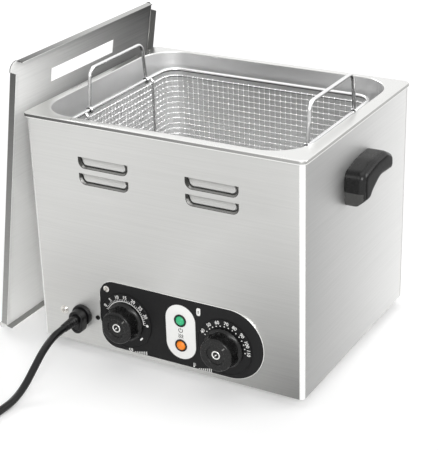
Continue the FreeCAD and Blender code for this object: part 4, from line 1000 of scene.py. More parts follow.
across = lid_lines(LID_W, LID_SLOT[0], 120, 180, LID_SLOT[2], 260)
up = lid_lines(LID_TALL, 80, 160, 240, LID_SLOT[1], LID_SLOT[3])
sheet = [lid_plate(across, up)]
sheet += [lid_skirt(edge, (across if edge % 2 else up)[1:-1]) for edge in range(4)]
sheet += [lid_corner(x_side, y_side) for x_side in (0, 1) for y_side in (0, 1)]
cover = piece("leaning_lid", welded(joined(sheet), (-1, 0, 0)), "brushed_stainless_sheet",
              "lid", ("lid",), thick=STEEL)
# Painted light on the inside of the lid.
refinish(cover, "satin_stainless_inside", inside_the_lid)
# Painted shade on the lid's skirts.
refinish(cover, "brushed_stainless_skirt", on_a_skirt)

# %% [markdown]
# ## The control panel
#
# The panel is a thin plate, rounded on its left and a half circle on its right, with black ink
# on its face and bare metal along its cut edge. Rings give it: two down the edge, one where
# the edge is eased, and the face. The white label and the lamp bezels sit on it.

# %% Panel and label
PANEL = (88.5, 5.5, 311.5, 96.0)
PANEL_ROUNDS = np.array((45.2, 45.2, 22.0, 22.0))
PANEL_THICK, LABEL_THICK, INK_THICK, EASE, BARE = 1.5, 0.5, 0.04, 0.45, 0.9
LABEL, LABEL_ROUND, LABEL_EASE = (181.7, 15.0, 221.7, 86.0), 19.95, 0.2
PANEL_FACE, LABEL_FACE = -PANEL_THICK - INK_THICK, -PANEL_THICK - LABEL_THICK
PLATE_STEPS = 24


def plate(outline, rounds, back, front, ease):
    """Rings from the back of a plate to its eased front edge, closed by its two faces."""
    left, low, right, high = outline
    rows = [(0, back), (0, front + ease), *arc((ease, front + ease), ease, 202.5, 270, 3)]
    return stack([upright_ring(left + inset, low + inset, right - inset, high - inset,
                               rounds - inset, y, PLATE_STEPS) for inset, y in rows])


piece("panel_edge", plate(PANEL, PANEL_ROUNDS, 0.02, -PANEL_THICK, EASE), "bright_chrome_trim",
      "boiler", ("control_panel",))
inked = np.array(PANEL) + (BARE, BARE, -BARE, -BARE)
piece("panel_ink", plate(inked, PANEL_ROUNDS - BARE, 0.2 - PANEL_THICK, PANEL_FACE, INK_THICK),
      "satin_black_panel_ink", "boiler")
piece("lamp_label_film", plate(LABEL, LABEL_ROUND, -PANEL_THICK, LABEL_FACE, LABEL_EASE),
      "white_printed_film", "boiler", ("lamp_label",))

# %% [markdown]
# ## Dials
#
# Each dial is a shallow moulded disc with a bead round it. It stays still, and the knob turns in
# front of it. Its print is a thin layer of white ink: numerals from Blender's own font, made
# mesh and laid round the disc, with a tick for each minute or a dot for each ten degrees.

# %% Dial discs
TIMER, THERMO = (125.0, 47.0), (260.0, 45.0)
DIAL_ROUND, DIAL_HOLE, DIAL_DISH = 36.0, 5.0, 1.7
DIAL_FRONT = -(PANEL_THICK + 1.4)
DIAL_SINK = DIAL_FRONT + 0.4
BEAD_IN, BEAD_TALL, BEAD_WIDER = 0.75, 0.45, 1.6


def at_front(x, z, y=0.0):
    """A point y behind the front wall, or in front of it where y is negative."""
    return np.array((x, y, z))


def dial_profile():
    """Up the outer edge, over a half-round bead, and down to the sunk face."""
    bead = (arc((0, 0), BEAD_TALL, 0, 180, 6) * (BEAD_WIDER, 1)
            + (DIAL_ROUND - BEAD_IN, -DIAL_FRONT - BEAD_TALL))
    return [(PANEL_THICK, DIAL_ROUND), *bead[:, ::-1], (-DIAL_SINK, DIAL_ROUND - DIAL_DISH),
            (-DIAL_SINK, DIAL_HOLE)]


for name, (x, z) in (("timer", TIMER), ("thermostat", THERMO)):
    piece(name + "_dial_disc", lathe(dial_profile(), at_front(x, z), sides=96),
          "satin_black_panel_ink", "boiler", (name + "_dial",))

# %% Ink on a dial
INK, BOLDER, LETTER_SIZE = 0.03, 0.1, 1.4


def at_clock(flat, centre, angle, radius):
    """Flat points turned so that their top faces the dial's edge at an angle clockwise from
    its top: with s and c its sine and cosine, centre + radius (s, c) + (c x + s y, c y - s x)."""
    c, s = math.cos(math.radians(angle)), math.sin(math.radians(angle))
    return np.column_stack((centre[0] + radius * s + c * flat[:, 0] + s * flat[:, 1],
                            centre[1] + radius * c - s * flat[:, 0] + c * flat[:, 1]))


def numeral(text, height, centre, angle, radius, face):
    """Text as a thin solid, its top towards the dial's edge, centred on its clock point."""
    curve = bpy.data.curves.new("numeral", "FONT")
    curve.body, curve.size, curve.extrude = text, height * LETTER_SIZE, INK
    curve.align_x, curve.align_y, curve.resolution_u = "CENTER", "CENTER", 3
    curve.offset = BOLDER
    maker = new_object("numeral", curve)
    mesh = as_mesh(maker)
    points, faces = mesh_arrays(mesh)
    bpy.data.objects.remove(maker)
    bpy.data.meshes.remove(mesh)
    return stood(at_clock(points, centre, angle, radius), face - points[:, 2] - INK), faces


def mark(centre, angle, radius, long, wide, face, round_end=False):
    """A bar of ink lying along the radius, or a dot when it is as long as it is wide."""
    sides, turn, reach = (12, 0, 0.5) if round_end else (4, np.pi / 4, math.sqrt(0.5))
    a = np.linspace(0, 2 * np.pi, sides, endpoint=False) + turn
    flat = np.column_stack((np.cos(a) * wide * reach, np.sin(a) * long * reach))
    flat = at_clock(flat, centre, angle, radius)
    return stack([stood(flat, face), stood(flat, face - 2 * INK)])


def band(centre, start, end, inner, outer, face, steps=40):
    """A strip of ink round part of a dial."""
    a = np.radians(np.linspace(start, end, steps))
    out = np.stack((np.sin(a), np.cos(a)), -1)
    section = ((inner, face), (outer, face), (outer, face - 2 * INK), (inner, face - 2 * INK))
    return stack(np.stack([stood(out * r + centre, y) for r, y in section], 1))


print("a dot of ink holds", round(volume(*mark((0, 0), 0, 0, 1, 1, 0, True)), 4), "mm3")

# %% Dial print
TIMER_NUMBERS = dict(zip(("0", "5", "10", "15", "20", "25", "30"),
                         (-61, -40, -20, 1, 23, 45, 66)))
THERMO_NUMBERS = dict(zip(("40", "50", "60", "70", "80", "90", "100", "110"),
                          (-62, -38, -16, 6, 26, 48, 69, 89)))
TIMER_TALL, TIMER_TEXT_AT, THERMO_TALL, THERMO_TEXT_AT = 4.2, 31.3, 4.4, 31.6
TICKS_FROM, TICKS_TO, TICKS = -66, 88, 31
TICK_AT, TICK_LONG, TICK_WIDE, SCALE_IN, SCALE_OUT = 27.4, 2.6, 0.55, 25.4, 26.2
DOTS_FROM, DOTS_TO, DOTS, DOT_AT, DOT_WIDE = -66, 92, 15, 27.3, 1.6
END_DOT, HOLD_BAR = (89, 30.8, 3.6, 3.6), (132, 29.0, 2.2, 6.0)

printed = [numeral(text, TIMER_TALL, TIMER, angle, TIMER_TEXT_AT, DIAL_SINK)
           for text, angle in TIMER_NUMBERS.items()]
printed += [mark(TIMER, angle, TICK_AT, TICK_LONG, TICK_WIDE, DIAL_SINK)
            for angle in np.linspace(TICKS_FROM, TICKS_TO, TICKS)]
printed += [band(TIMER, TICKS_FROM, TICKS_TO, SCALE_IN, SCALE_OUT, DIAL_SINK)]
printed += [mark(TIMER, *place, DIAL_SINK, True) for place in (END_DOT, HOLD_BAR)]
printed += [numeral(text, THERMO_TALL, THERMO, angle, THERMO_TEXT_AT, DIAL_SINK)
            for text, angle in THERMO_NUMBERS.items()]
printed += [mark(THERMO, angle, DOT_AT, DOT_WIDE, DOT_WIDE, DIAL_SINK, True)
            for angle in np.linspace(DOTS_FROM, DOTS_TO, DOTS)]
piece("dial_print", joined(printed), "white_screen_ink", "boiler")

# %% [markdown]
# ## Signs instead of words
#
# Controls like these carry words under them. Here a clock, a thermometer, a mains sign, rising
# heat and bars that grow to the right say the same without lettering. Each is a few bars and
# rings of ink, so one bar, one ring and one wavy tube draw them all.

# %% Printed signs
SIGN_BAR = 0.9


def ring_of_ink(x, z, radius, face, start=0, end=359.9):
    """A thin printed circle, or part of one."""
    return band((x, z), start, end, radius - SIGN_BAR / 2, radius + SIGN_BAR / 2, face, 28)


def bar_of_ink(x, z, angle, long, face, wide=SIGN_BAR):
    """A thin printed bar centred on a point."""
    return mark((x, z), angle, 0, long, wide, face)


def clock_sign(x, z, face):
    """A clock face with two hands."""
    return [ring_of_ink(x, z, 2.3, face), bar_of_ink(x, z + 0.7, 0, 1.7, face),
            bar_of_ink(x + 0.55, z, 90, 1.4, face)]


def thermometer_sign(x, z, face):
    """A stem, a bulb and three graduations."""
    steps = [bar_of_ink(x + 1.9, z + high, 90, 1.2, face, 0.5) for high in (-0.2, 1.1, 2.4)]
    return [bar_of_ink(x, z + 0.9, 0, 4.0, face, 1.0),
            mark((x, z - 1.6), 0, 0, 2.2, 2.2, face, True)] + steps


def mains_sign(x, z, face):
    """An open circle with a bar standing in its gap."""
    return [ring_of_ink(x, z, 2.6, face, 35, 325), bar_of_ink(x, z + 1.9, 0, 2.8, face)]


def heat_sign(x, z, face):
    """Three wavy lines x = 0.5 sin(1.9 z) that rise side by side."""
    high = np.linspace(-2.6, 2.6, 16)
    wave = np.column_stack((0.5 * np.sin(high * 1.9), high)) + (x, z)
    return [tube(stood(wave + (shift, 0), face - INK), 0.5, (0, 1, 0), 6, flat=0.15)
            for shift in (-2.4, 0, 2.4)]


def rising_bars(x, z, face):
    """Seven bars on one line that grow from left to right: turn this way for more."""
    return [bar_of_ink(x + 2.7 * i, z + 0.3 * i, 0, 1.0 + 0.6 * i, face, 1.2)
            for i in range(7)]


LAMP_X = 201.7
piece("panel_signs", joined(clock_sign(TIMER[0] + 5, 9.0, PANEL_FACE)
                            + rising_bars(TIMER[0] + 11, 7.3, PANEL_FACE)
                            + thermometer_sign(THERMO[0] - 42, 10.4, PANEL_FACE)
                            + rising_bars(THERMO[0] - 35, 7.3, PANEL_FACE)),
      "white_screen_ink", "boiler")
piece("label_signs", joined(mains_sign(LAMP_X, 52.9, LABEL_FACE)
                            + heat_sign(LAMP_X, 45.4, LABEL_FACE)),
      "black_screen_ink", "boiler")

# %% [markdown]
# ## Lamps
#
# A pilot lamp is a turned bezel round an acrylic lens. The lens is a dome with fine rings
# moulded in it, so that it glows evenly: the rings are a ripple on the dome's profile.

# %% Lamps
LAMPS = {"power": (65.8, "green_acrylic_lens", "lens_green"),
         "heating": (33.0, "orange_acrylic_lens", "lens_orange")}
LENS_ROUND, LENS_TALL, LENS_SUNK, BEZEL_ROUND, BEZEL_TALL = 6.0, 3.2, 0.4, 8.0, 1.6
RIPPLE, RIPPLES = 0.06, 6


def lens_profile():
    """A dome r = R cos a, h = H sin a, with RIPPLES low rings that fade at its edge."""
    a = np.linspace(0, np.pi / 2, 40)
    ripple = RIPPLE * np.cos(np.cos(a) * 2 * np.pi * RIPPLES) * np.sin(a)
    return np.column_stack((LENS_TALL * np.sin(a) + ripple, LENS_ROUND * np.cos(a)))


half = (BEZEL_ROUND - LENS_ROUND) / 2
bezel = [(0.0, BEZEL_ROUND),
         *arc((LENS_ROUND + half, BEZEL_TALL - half), half, 0, 180, 8)[:, ::-1],
         (0.0, LENS_ROUND + 0.02)]
bezels = []
for name, (height, finish_name, slot) in LAMPS.items():
    centre = at_front(LAMP_X, height, LABEL_FACE)
    lens_part = lathe([(-LENS_SUNK, LENS_ROUND), *lens_profile()], centre, sides=48)
    piece(name + "_lens", lens_part, finish_name, "boiler", (name + "_lamp_lens",))
    bezels.append(lathe(bezel, centre, sides=48))
piece("lamp_bezel_rings", joined(bezels), "pressed_phenolic_knob", "boiler", ("lamp_bezels",))

# %% [markdown]
# ## Knobs
#
# A fluted knob is a body of revolution with six hollows cut into its side for the fingers. On
# a lathe surface a hollow is a limit on the radius: where the cutting circle stands nearer the
# axis than the profile does, the radius follows the circle. A soft minimum rounds the edges
# between the two, as a mould does. A chromed ring, a plug with a white centre mark and a worn
# pointer finish the face, and they turn with the knob because they ride on its body.

# %% A knob's shape
KNOB_BASE, KNOB_BACK, KNOB_FACE, KNOB_FRONT = 25.0, 3.5, 22.4, 24.0
FLUTE_AT, FLUTE_ROUND, FLUTES, FLUTE_SOFT = 29.5, 8.2, 6, 24.0
FLUTE_FOOT, FLUTE_FADE, FLUTE_LEAST, NO_LIMIT = 7.6, 2.0, 13, 35.0
GRIP_FOOT, GRIP_ROUND, GRIP_TAPER = 9.4, 22.25, 0.128


def fluted(height, reach, a):
    """Radius kept within the flute, D cos a - sqrt(R^2 - D^2 sin^2 a), softly, above the base.
    The soft lesser of r and f is (r^-n + f^-n)^(-1/n)."""
    step = 2 * np.pi / FLUTES
    off = np.abs((a + step / 2) % step - step / 2)
    inside = np.maximum(FLUTE_ROUND ** 2 - (FLUTE_AT * np.sin(off)) ** 2, 0)
    limit = np.where(FLUTE_AT * np.sin(off) < FLUTE_ROUND,
                     FLUTE_AT * np.cos(off) - np.sqrt(inside), NO_LIMIT)
    soft = (reach ** -FLUTE_SOFT + limit ** -FLUTE_SOFT) ** (-1 / FLUTE_SOFT)
    share = eased(np.clip((height - FLUTE_FOOT) / FLUTE_FADE, 0, 1))
    return np.where(reach > FLUTE_LEAST, reach + (soft - reach) * share, reach)


def knob_profile():
    """Base edge, step, tapered grip, rolled front edge, dished face."""
    grip = [(h, GRIP_ROUND - GRIP_TAPER * (h - GRIP_FOOT)) for h in np.linspace(10.4, 21.2, 10)]
    return [(KNOB_BACK, 3.0), (KNOB_BACK, KNOB_BASE - 0.5), (KNOB_BACK + 0.4, KNOB_BASE),
            *arc((KNOB_BASE - 0.8, 5.4), 0.8, 0, 80, 4)[:, ::-1],
            (8.0, 22.7), (8.6, 22.4), (GRIP_FOOT, GRIP_ROUND), *grip,
            *arc((18.3, KNOB_FRONT - 2.4), 2.4, 5, 90, 7)[:, ::-1],
            (KNOB_FRONT, 15.0), (KNOB_FRONT, 12.6),
            *arc((12.6, 22.9), 1.1, 90, 165, 4)[:, ::-1], (KNOB_FACE, 11.2), (KNOB_FACE, 3.0)]


print("knob", 2 * KNOB_BASE, "mm wide,", len(knob_profile()), "points in its profile")

# %% Knobs
KNOB_MARK_ANGLE = 45
POINTER, CENTRE_MARK = (15.4, 4.4, 1.4), (0, 3.6, 1.1)
KNOB_SEAT, PLUG_TOP = KNOB_FACE - 0.2, KNOB_FACE + 0.45
RING_AT, RING_HALF, RING_FLAT = 4.65, 0.95, 0.6
knob_ring = [(KNOB_FACE - 0.12, 5.6),
             *(arc((0, 0), RING_HALF, 0, 180, 10)[:, ::-1] * (RING_FLAT, 1) + (KNOB_FACE, RING_AT)),
             (KNOB_SEAT, 3.7)]
knob_plug = [(KNOB_SEAT, 3.2), (KNOB_FACE + 0.35, 3.0), (PLUG_TOP, 2.2)]

for name, place in (("timer", TIMER), ("thermostat", THERMO)):
    body, centre = name + "_control", at_front(*place)
    piece(name + "_fluted_knob", lathe(knob_profile(), centre, sides=180, radius_at=fluted),
          "pressed_phenolic_knob", body, (name + "_knob",))
    piece(name + "_knob_ring", lathe(knob_ring, centre, sides=72), "bright_chrome_trim", body)
    piece(name + "_knob_plug", lathe(knob_plug, centre, sides=48), "pressed_phenolic_knob",
          body, (name + "_knob_cap",))
    piece(name + "_knob_pointer", mark(place, KNOB_MARK_ANGLE, *POINTER, -KNOB_FRONT),
          "worn_pointer_ink", body)
    piece(name + "_knob_centre", mark(place, KNOB_MARK_ANGLE, *CENTRE_MARK, -PLUG_TOP),
          "white_screen_ink", body)

# %% [markdown]
# ## Screws
#
# A pan head is a shallow dome with a driving recess. The head is a disc of rings, and the
# recess is a dip in its height: inside a cross, or a slot, the dome drops to a flat bottom.
# The panel has one such head on its left and an oblong stud on its right, a small blackened
# screw stands beside it, and the earth terminal is a screw with a washer and a nut.

# %% A screw
RECESS_WIDE, RECESS_REACH, RECESS_DEEP = 0.9, 0.62, 0.9
DOME, HEAD_RINGS, HEAD_SIDES = 0.8, 16, 48


def screw_head(centre, axis, radius, tall, slot=False):
    """Height H sqrt(1 - (0.8 r/R)^2), less the recess: a cross RECESS_WIDE mm wide that reaches
    RECESS_REACH of the radius, or only one bar of it."""
    one, two = square_to(axis)
    a = np.linspace(0, 2 * np.pi, HEAD_SIDES, endpoint=False)[None, :]
    r = np.linspace(0.02, 1, HEAD_RINGS)[:, None] * radius
    x, y = r * np.cos(a), r * np.sin(a)
    dome = tall * np.sqrt(1 - (DOME * r / radius) ** 2) + 0 * a
    half, reach = RECESS_WIDE / 2, RECESS_REACH * radius
    arm = (np.abs(y) < half) & (np.abs(x) < reach)
    if not slot:
        arm |= (np.abs(x) < half) & (np.abs(y) < reach)
    dome = np.where(arm, dome - RECESS_DEEP, dome)
    flat = centre + x[..., None] * one + y[..., None] * two
    return stack(np.vstack((flat + dome[..., None] * axis, flat[-1:])), None, centre)


def screw(centre, axis, radius, tall, shank, long, slot=False):
    """A head on one side of its seat and a plain shank on the other."""
    centre, axis = np.asarray(centre, float), np.asarray(axis, float)
    shaft = lathe([(0.1, shank), (0.6 - long, shank), (-long, shank - 0.5)], centre, axis, 16)
    return joined([screw_head(centre, axis, radius, tall, slot), shaft])


print("points of a screw", len(screw((0, 0, 0), (0, -1, 0), 4.0, 1.6, 2.0, 9)[0]))

# %% Screws
FRONT, REAR, DOWN = (0, -1, 0), (0, 1, 0), (0, 0, -1)
STUD = (227.0, 83.3)
STUD_HALF_W, STUD_HALF_H, STUD_FACE = 2.9, 5.2, -PANEL_THICK - 1.4
EARTH = (33.6, 40.2)
REAR_X, REAR_Z, FOOT_X, FOOT_Y = (6.0, 354.0), (20.0, 145.0, 270.0), (32.0, 328.0), (36.0, 254.0)

stud = np.array(STUD * 2) + (-STUD_HALF_W, -STUD_HALF_H, STUD_HALF_W, STUD_HALF_H)
washer = lathe([(0, 2.0), (0, 5.6), (0.6, 5.6), (0.8, 5.4), (0.8, 2.0)], at_front(*EARTH))
nut = lathe([(-1, 2.0), (-1, 4.6), (-5, 4.6), (-5, 2.0)], at_front(*EARTH), sides=6)
earth = joined([washer, nut, screw(at_front(*EARTH, -0.8), FRONT, 4.0, 2.2, 2.4, 17)])
rear_screws = joined([screw((x, CASE_D, z), REAR, 3.0, 1.8, 1.5, 8)
                      for x in REAR_X for z in REAR_Z])
foot_bolts = joined([screw((x, y, 3 + FLOOR), DOWN, 4.0, 2.0, 1.9, 14)
                     for x in FOOT_X for y in FOOT_Y])
for name, part, finish_name, nodes in (
        ("panel_screw_head", screw(at_front(100.0, 84.5, -PANEL_THICK), FRONT, 4.0, 1.6, 2.0, 9),
         "nickel_plated_screw", ("front_screws",)),
        ("panel_stud_head", plate(stud, STUD_HALF_W - 0.05, -PANEL_THICK, STUD_FACE, 0.6),
         "bright_chrome_trim", ()),
        # The stud's slot is a bar of black ink: painted shade where a recess would be.
        ("panel_stud_slot", mark(STUD, 0, 0, 3.6, 1.1, STUD_FACE), "black_screen_ink", ()),
        ("side_screw_head", screw(at_front(83.5, 40.8), FRONT, 2.9, 1.8, 1.5, 7, True),
         "blackened_screw", ()),
        ("earth_screw", earth, "nickel_plated_screw", ("earth_terminal",)),
        ("rear_screw_set", rear_screws, "nickel_plated_screw", ("back_panel_screws",)),
        ("foot_screw_set", foot_bolts, "nickel_plated_screw", ("foot_screws",))):
    piece(name, part, finish_name, "boiler", nodes)

# %% [markdown]
# ## The wire basket
#
# A basket frame is bent from bright bar: a heavy ring at the top, two lighter ones, and two
# ribs that hook over the top ring and run down the sides and under the floor. Each is a round
# bar along a path of straights and arcs. The mesh is welded: level wires lie inside, uprights
# outside, and they touch where they cross, so every wire is a plain tube. All of it is
# electropolished. Painted shade greys a bar's underside strongly and a mesh wire's a little.

# %% Basket frame
BASKET = (31.0, 24.0, 323.0, 272.0)
BASKET_ROUND, BASKET_TOP, BASKET_BAND, BASKET_FOOT = 22.0, 272.0, 263.4, 136.0
RIM_WIRE, BAND_WIRE, FRAME_WIRE, RIB_WIRE, RIB_BEND = 2.5, 1.6, 2.0, 1.6, 3.6
RIB_AT, RIB_HALF = (74.0, 222.0), ((33.5, 271.5), (36.0, 268.0), (36.0, 139.3))
BASKET_STEPS, RING_SIDES, RIB_SIDES = 12, 14, 12


def basket_line(inset, z):
    """The basket's level outline drawn in by inset."""
    left, front, right, back = BASKET
    return level_ring(left + inset, front + inset, right - inset, back - inset,
                      BASKET_ROUND - inset, z, BASKET_STEPS)


def bent(corners, bend, steps=7):
    """Straight runs with an arc at each corner: points p + d (1 - cos) + e sin, where the arc
    touches both runs at bend x tan(half the turn) from the corner."""
    corners = np.asarray(corners, float)
    rows = [corners[:1]]
    for before, here, after in zip(corners[:-2], corners[1:-1], corners[2:]):
        inward, outward_way = unit(before - here), unit(after - here)
        half_turn = math.acos(np.clip(np.dot(inward, outward_way), -1, 1)) / 2
        centre = here + unit(inward + outward_way) * bend / math.sin(half_turn)
        start = here + inward * bend / math.tan(half_turn)
        end = here + outward_way * bend / math.tan(half_turn)
        one = unit(start - centre)
        two = unit(end - centre - one * np.dot(end - centre, one))
        a = np.linspace(0, math.pi - 2 * half_turn, steps + 1)[:, None]
        rows.append(centre + bend * (np.cos(a) * one + np.sin(a) * two))
    return np.vstack(rows + [corners[-1:]])


for name, node, z, radius in (("basket_top_ring", "basket_rim_wire", BASKET_TOP, RIM_WIRE),
                              ("basket_middle_ring", "basket_band_wire", BASKET_BAND, BAND_WIRE),
                              ("basket_foot_ring", "basket_bottom_wire", BASKET_FOOT,
                               FRAME_WIRE)):
    piece(name, tube(basket_line(0, z), radius, (0, 0, 1), RING_SIDES, True),
          "polished_frame_bar", "basket", (node,))
ribs = []
for y in RIB_AT:
    near = [(x, y, z) for x, z in RIB_HALF]
    far = [(BASKET[0] + BASKET[2] - x, y, z) for x, z in reversed(RIB_HALF)]
    ribs.append(tube(bent(near + far, RIB_BEND), RIB_WIRE, (0, 1, 0), RIB_SIDES))
piece("basket_side_ribs", joined(ribs), "polished_frame_bar", "basket", ("basket_ribs",))

# %% Where the mesh wires run
PITCH, MESH_WIRE, WELD, WIRE_SIDES = 7.6, 0.48, 0.36, 6
MESH_IN, MESH_LOW, MESH_TOP, MESH_FLOOR = 2.7, 138.2, 265.4, 137.0


def evenly(ring, pitch):
    """Points on a closed line, an even number of them about a pitch apart: each at its share
    of the length, found between the two corners beside it."""
    ring = np.vstack((ring, ring[:1]))
    along = np.concatenate(([0], np.cumsum(np.linalg.norm(np.diff(ring, axis=0), axis=1))))
    at = np.linspace(0, along[-1], 2 * round(along[-1] / pitch / 2), endpoint=False)
    return np.stack([np.interp(at, along, ring[:, i]) for i in range(3)], -1)


def floor_wires():
    """Wires both ways across a rounded rectangle, each as long as the outline lets it be."""
    left, front, right, back = np.array(BASKET) + (MESH_IN, MESH_IN, -MESH_IN, -MESH_IN)
    corner = BASKET_ROUND - MESH_IN
    made = []
    for axis, (low, high, start, end) in enumerate(((left, right, front, back),
                                                    (front, back, left, right))):
        for at in np.linspace(low, high, round((high - low) / PITCH) + 1)[1:-1]:
            near = max(corner - min(at - low, high - at), 0)
            trim = corner - math.sqrt(corner ** 2 - near ** 2)
            run = (start + trim, end - trim)
            pair = (run, (at, at)) if axis else ((at, at), run)
            z = np.full(2, MESH_FLOOR + (WELD if axis else -WELD))
            made.append(tube(np.column_stack((*pair, z)), MESH_WIRE, (0, 0, 1), WIRE_SIDES))
    return made


levels = np.linspace(MESH_LOW + 1, MESH_TOP - 1, round((MESH_TOP - MESH_LOW) / PITCH) + 1)
posts = evenly(basket_line(MESH_IN - WELD, 0), PITCH)
print("mesh", len(posts), "uprights", len(levels), "levels", round(levels[1] - levels[0], 2))

# %% Welded mesh
walls = [tube(basket_line(MESH_IN + WELD, z), MESH_WIRE, (0, 0, 1), WIRE_SIDES, True)
         for z in levels]
walls += [tube(post + np.outer((levels[0] - 1, levels[-1] + 1), (0, 0, 1)), MESH_WIRE,
               (1, 0, 0), WIRE_SIDES) for post in posts]
piece("basket_mesh_walls", joined(walls), "polished_mesh_wire", "basket",
      ("basket_mesh_front", "basket_mesh_back", "basket_mesh_left", "basket_mesh_right",
       "basket_mesh_corners"))
piece("basket_mesh_base", joined(floor_wires()), "polished_mesh_wire", "basket",
      ("basket_mesh_floor",))

# %% [markdown]
# ## Bails
#
# Each bail is one bar bent twice, with its ends rolled into flat eyes round the top ring, so
# that it folds. An eye is a ring whose section is an ellipse, thin round the wire and as wide
# as the bar: a tube along a circle, drawn flat.

# %% Bails
BAIL_WIRE, BAIL_BEND, BAIL_TOP, BAIL_MID = 2.25, 12.0, 322.0, 150.0
BAIL_FOOT_HALF, BAIL_TOP_HALF, BAIL_FOOT = 64.0, 58.0, BASKET_TOP + 3.6
EYE_IN, EYE_OUT, EYE_STEPS = 2.56, 4.8, 32


def bail(x):
    """The bent bar and the two eyes it ends in."""
    corners = [(x, BAIL_MID - BAIL_FOOT_HALF, BAIL_FOOT), (x, BAIL_MID - BAIL_TOP_HALF, BAIL_TOP),
               (x, BAIL_MID + BAIL_TOP_HALF, BAIL_TOP), (x, BAIL_MID + BAIL_FOOT_HALF, BAIL_FOOT)]
    bar = tube(bent(corners, BAIL_BEND, 10), BAIL_WIRE, (1, 0, 0), 16)
    turn = np.linspace(0, 2 * np.pi, EYE_STEPS, endpoint=False)
    circle = np.column_stack((np.cos(turn), np.sin(turn))) * (EYE_IN + EYE_OUT) / 2
    thin = (EYE_OUT - EYE_IN) / 2
    eyes = [tube(stood(circle + (x, BASKET_TOP), BAIL_MID + side * BAIL_FOOT_HALF), thin,
                 (0, 1, 0), 14, True, flat=BAIL_WIRE / thin) for side in (-1, 1)]
    return joined([bar] + eyes)


for side, x in (("left", BASKET[0]), ("right", BASKET[2])):
    piece("bail_%s_wire" % side, bail(x), "polished_frame_bar", "bail_" + side,
          ("basket_bail_" + side,))

# %% [markdown]
# ## Cable gland, clamp and strain relief
#
# The cord enters low on the front. A flanged nylon body holds the wall, a clamp with a lobe
# under it grips the cord, and a ribbed, tapering sleeve keeps the first bend gentle. Each is
# a set of rings along the cord: the clamp's outline is two circles and the lines that touch
# both, and the sleeve's profile dips by a millimetre at each groove.

# %% Gland and clamp
GLAND = (61.0, 40.0)
FLANGE_ROUND, CLAMP_ROUND, LOBE_ROUND, LOBE_DROP = 13.4, 10.4, 8.5, 10.8

flange = [(-14, 6), (-14, 10), (0.05, 10), (0.05, FLANGE_ROUND - 0.4), (0.5, FLANGE_ROUND),
          *arc((FLANGE_ROUND - 1.2, 3.8), 1.2, 0, 90, 6)[:, ::-1], (5.0, 11.0), (5.0, 6.0)]
piece("gland_flange", lathe(flange, at_front(*GLAND), sides=72), "moulded_nylon_gland",
      "boiler", ("cable_gland",))


def clamp_outline(inset, y):
    """The line round a large circle and a smaller one hung under it, drawn in by inset."""
    tilt = math.degrees(math.asin((CLAMP_ROUND - LOBE_ROUND) / LOBE_DROP))
    return stood(np.vstack((arc(GLAND, CLAMP_ROUND - inset, -tilt, 180 + tilt, 36),
                            arc((GLAND[0], GLAND[1] - LOBE_DROP), LOBE_ROUND - inset,
                                180 + tilt, 360 - tilt, 28))), y)


clamp_rows = [(0.6, -5.0), (0.0, -5.6), (0.0, -13.2), (0.15, -14.4),
              *(arc((0, 14.9), 1.5, 10, 90, 6) * -1 + (1.6, 0)),
              (3.6, -16.4), (3.9, -15.6), (4.4, -15.6), (4.6, -16.4)]
piece("cord_clamp_moulding", stack([clamp_outline(*row) for row in clamp_rows]),
      "moulded_nylon_gland", "boiler", ("cord_clamp",))

# %% Strain relief
SLEEVE_FROM, SLEEVE_TO, SLEEVE_ROUND, SLEEVE_TAPER = 17.0, 41.0, 6.4, 1.3
GROOVE, GROOVES, GROOVED_FROM, GROOVED_TO = 0.55, 6.5, 0.12, 0.9


def sleeve_profile():
    """A taper from 6.4 to 5.1 mm with six grooves, and a rounded end over the cord."""
    along = np.linspace(SLEEVE_FROM - 2, SLEEVE_TO - 1.2, 90)
    share = (along - SLEEVE_FROM) / (SLEEVE_TO - SLEEVE_FROM)
    groove = GROOVE * np.clip(np.cos(share * 2 * np.pi * GROOVES) * 3 - 1.6, 0, 1)
    grooved = (share > GROOVED_FROM) & (share < GROOVED_TO)
    reach = SLEEVE_ROUND - SLEEVE_TAPER * share - np.where(grooved, groove, 0)
    return [*np.column_stack((along, reach)), (SLEEVE_TO - 0.5, 5.0), (SLEEVE_TO, 4.6),
            (SLEEVE_TO, 3.5)]


sleeve = piece("strain_relief_sleeve", lathe(sleeve_profile(), at_front(*GLAND), sides=48),
               "soft_pvc_cord", "boiler", ("cord_strain_relief",))

# %% [markdown]
# ## The plug
#
# Moulded in one with the cord: a ribbed neck, a body with a waist for the fingers, and two
# flat pins with a round earth pin. The body is a stack of rounded rectangles whose half
# widths follow a smooth curve from neck to face.

# %% Plug body
PLUG = (-68.5, -166.0, 0.3)
NECK_LONG, NECK_ROUND, NECK_FLARE, NECK_GROOVE, NECK_GROOVES = 15, 5.7, 2.6, 0.6, 4
SHOULDER_LONG, SHOULDER_ROUND, WAIST, WAIST_AT, WAIST_REACH = 7, 8.4, 1.3, 32, 5.5
PLUG_HALF_W, PLUG_HALF_H, PLUG_FACE, PLUG_EASE, PLUG_CORNER = 13.5, 11.5, 47.0, 1.6, 5.0


def plug_ring(along, half_w, half_h, corner):
    """A rounded rectangle square to the plug's axis, along mm from its neck's end."""
    x, y, z = PLUG
    return upright_ring(x - half_w, z - half_h, x + half_w, z + half_h, corner, y + along, 8)


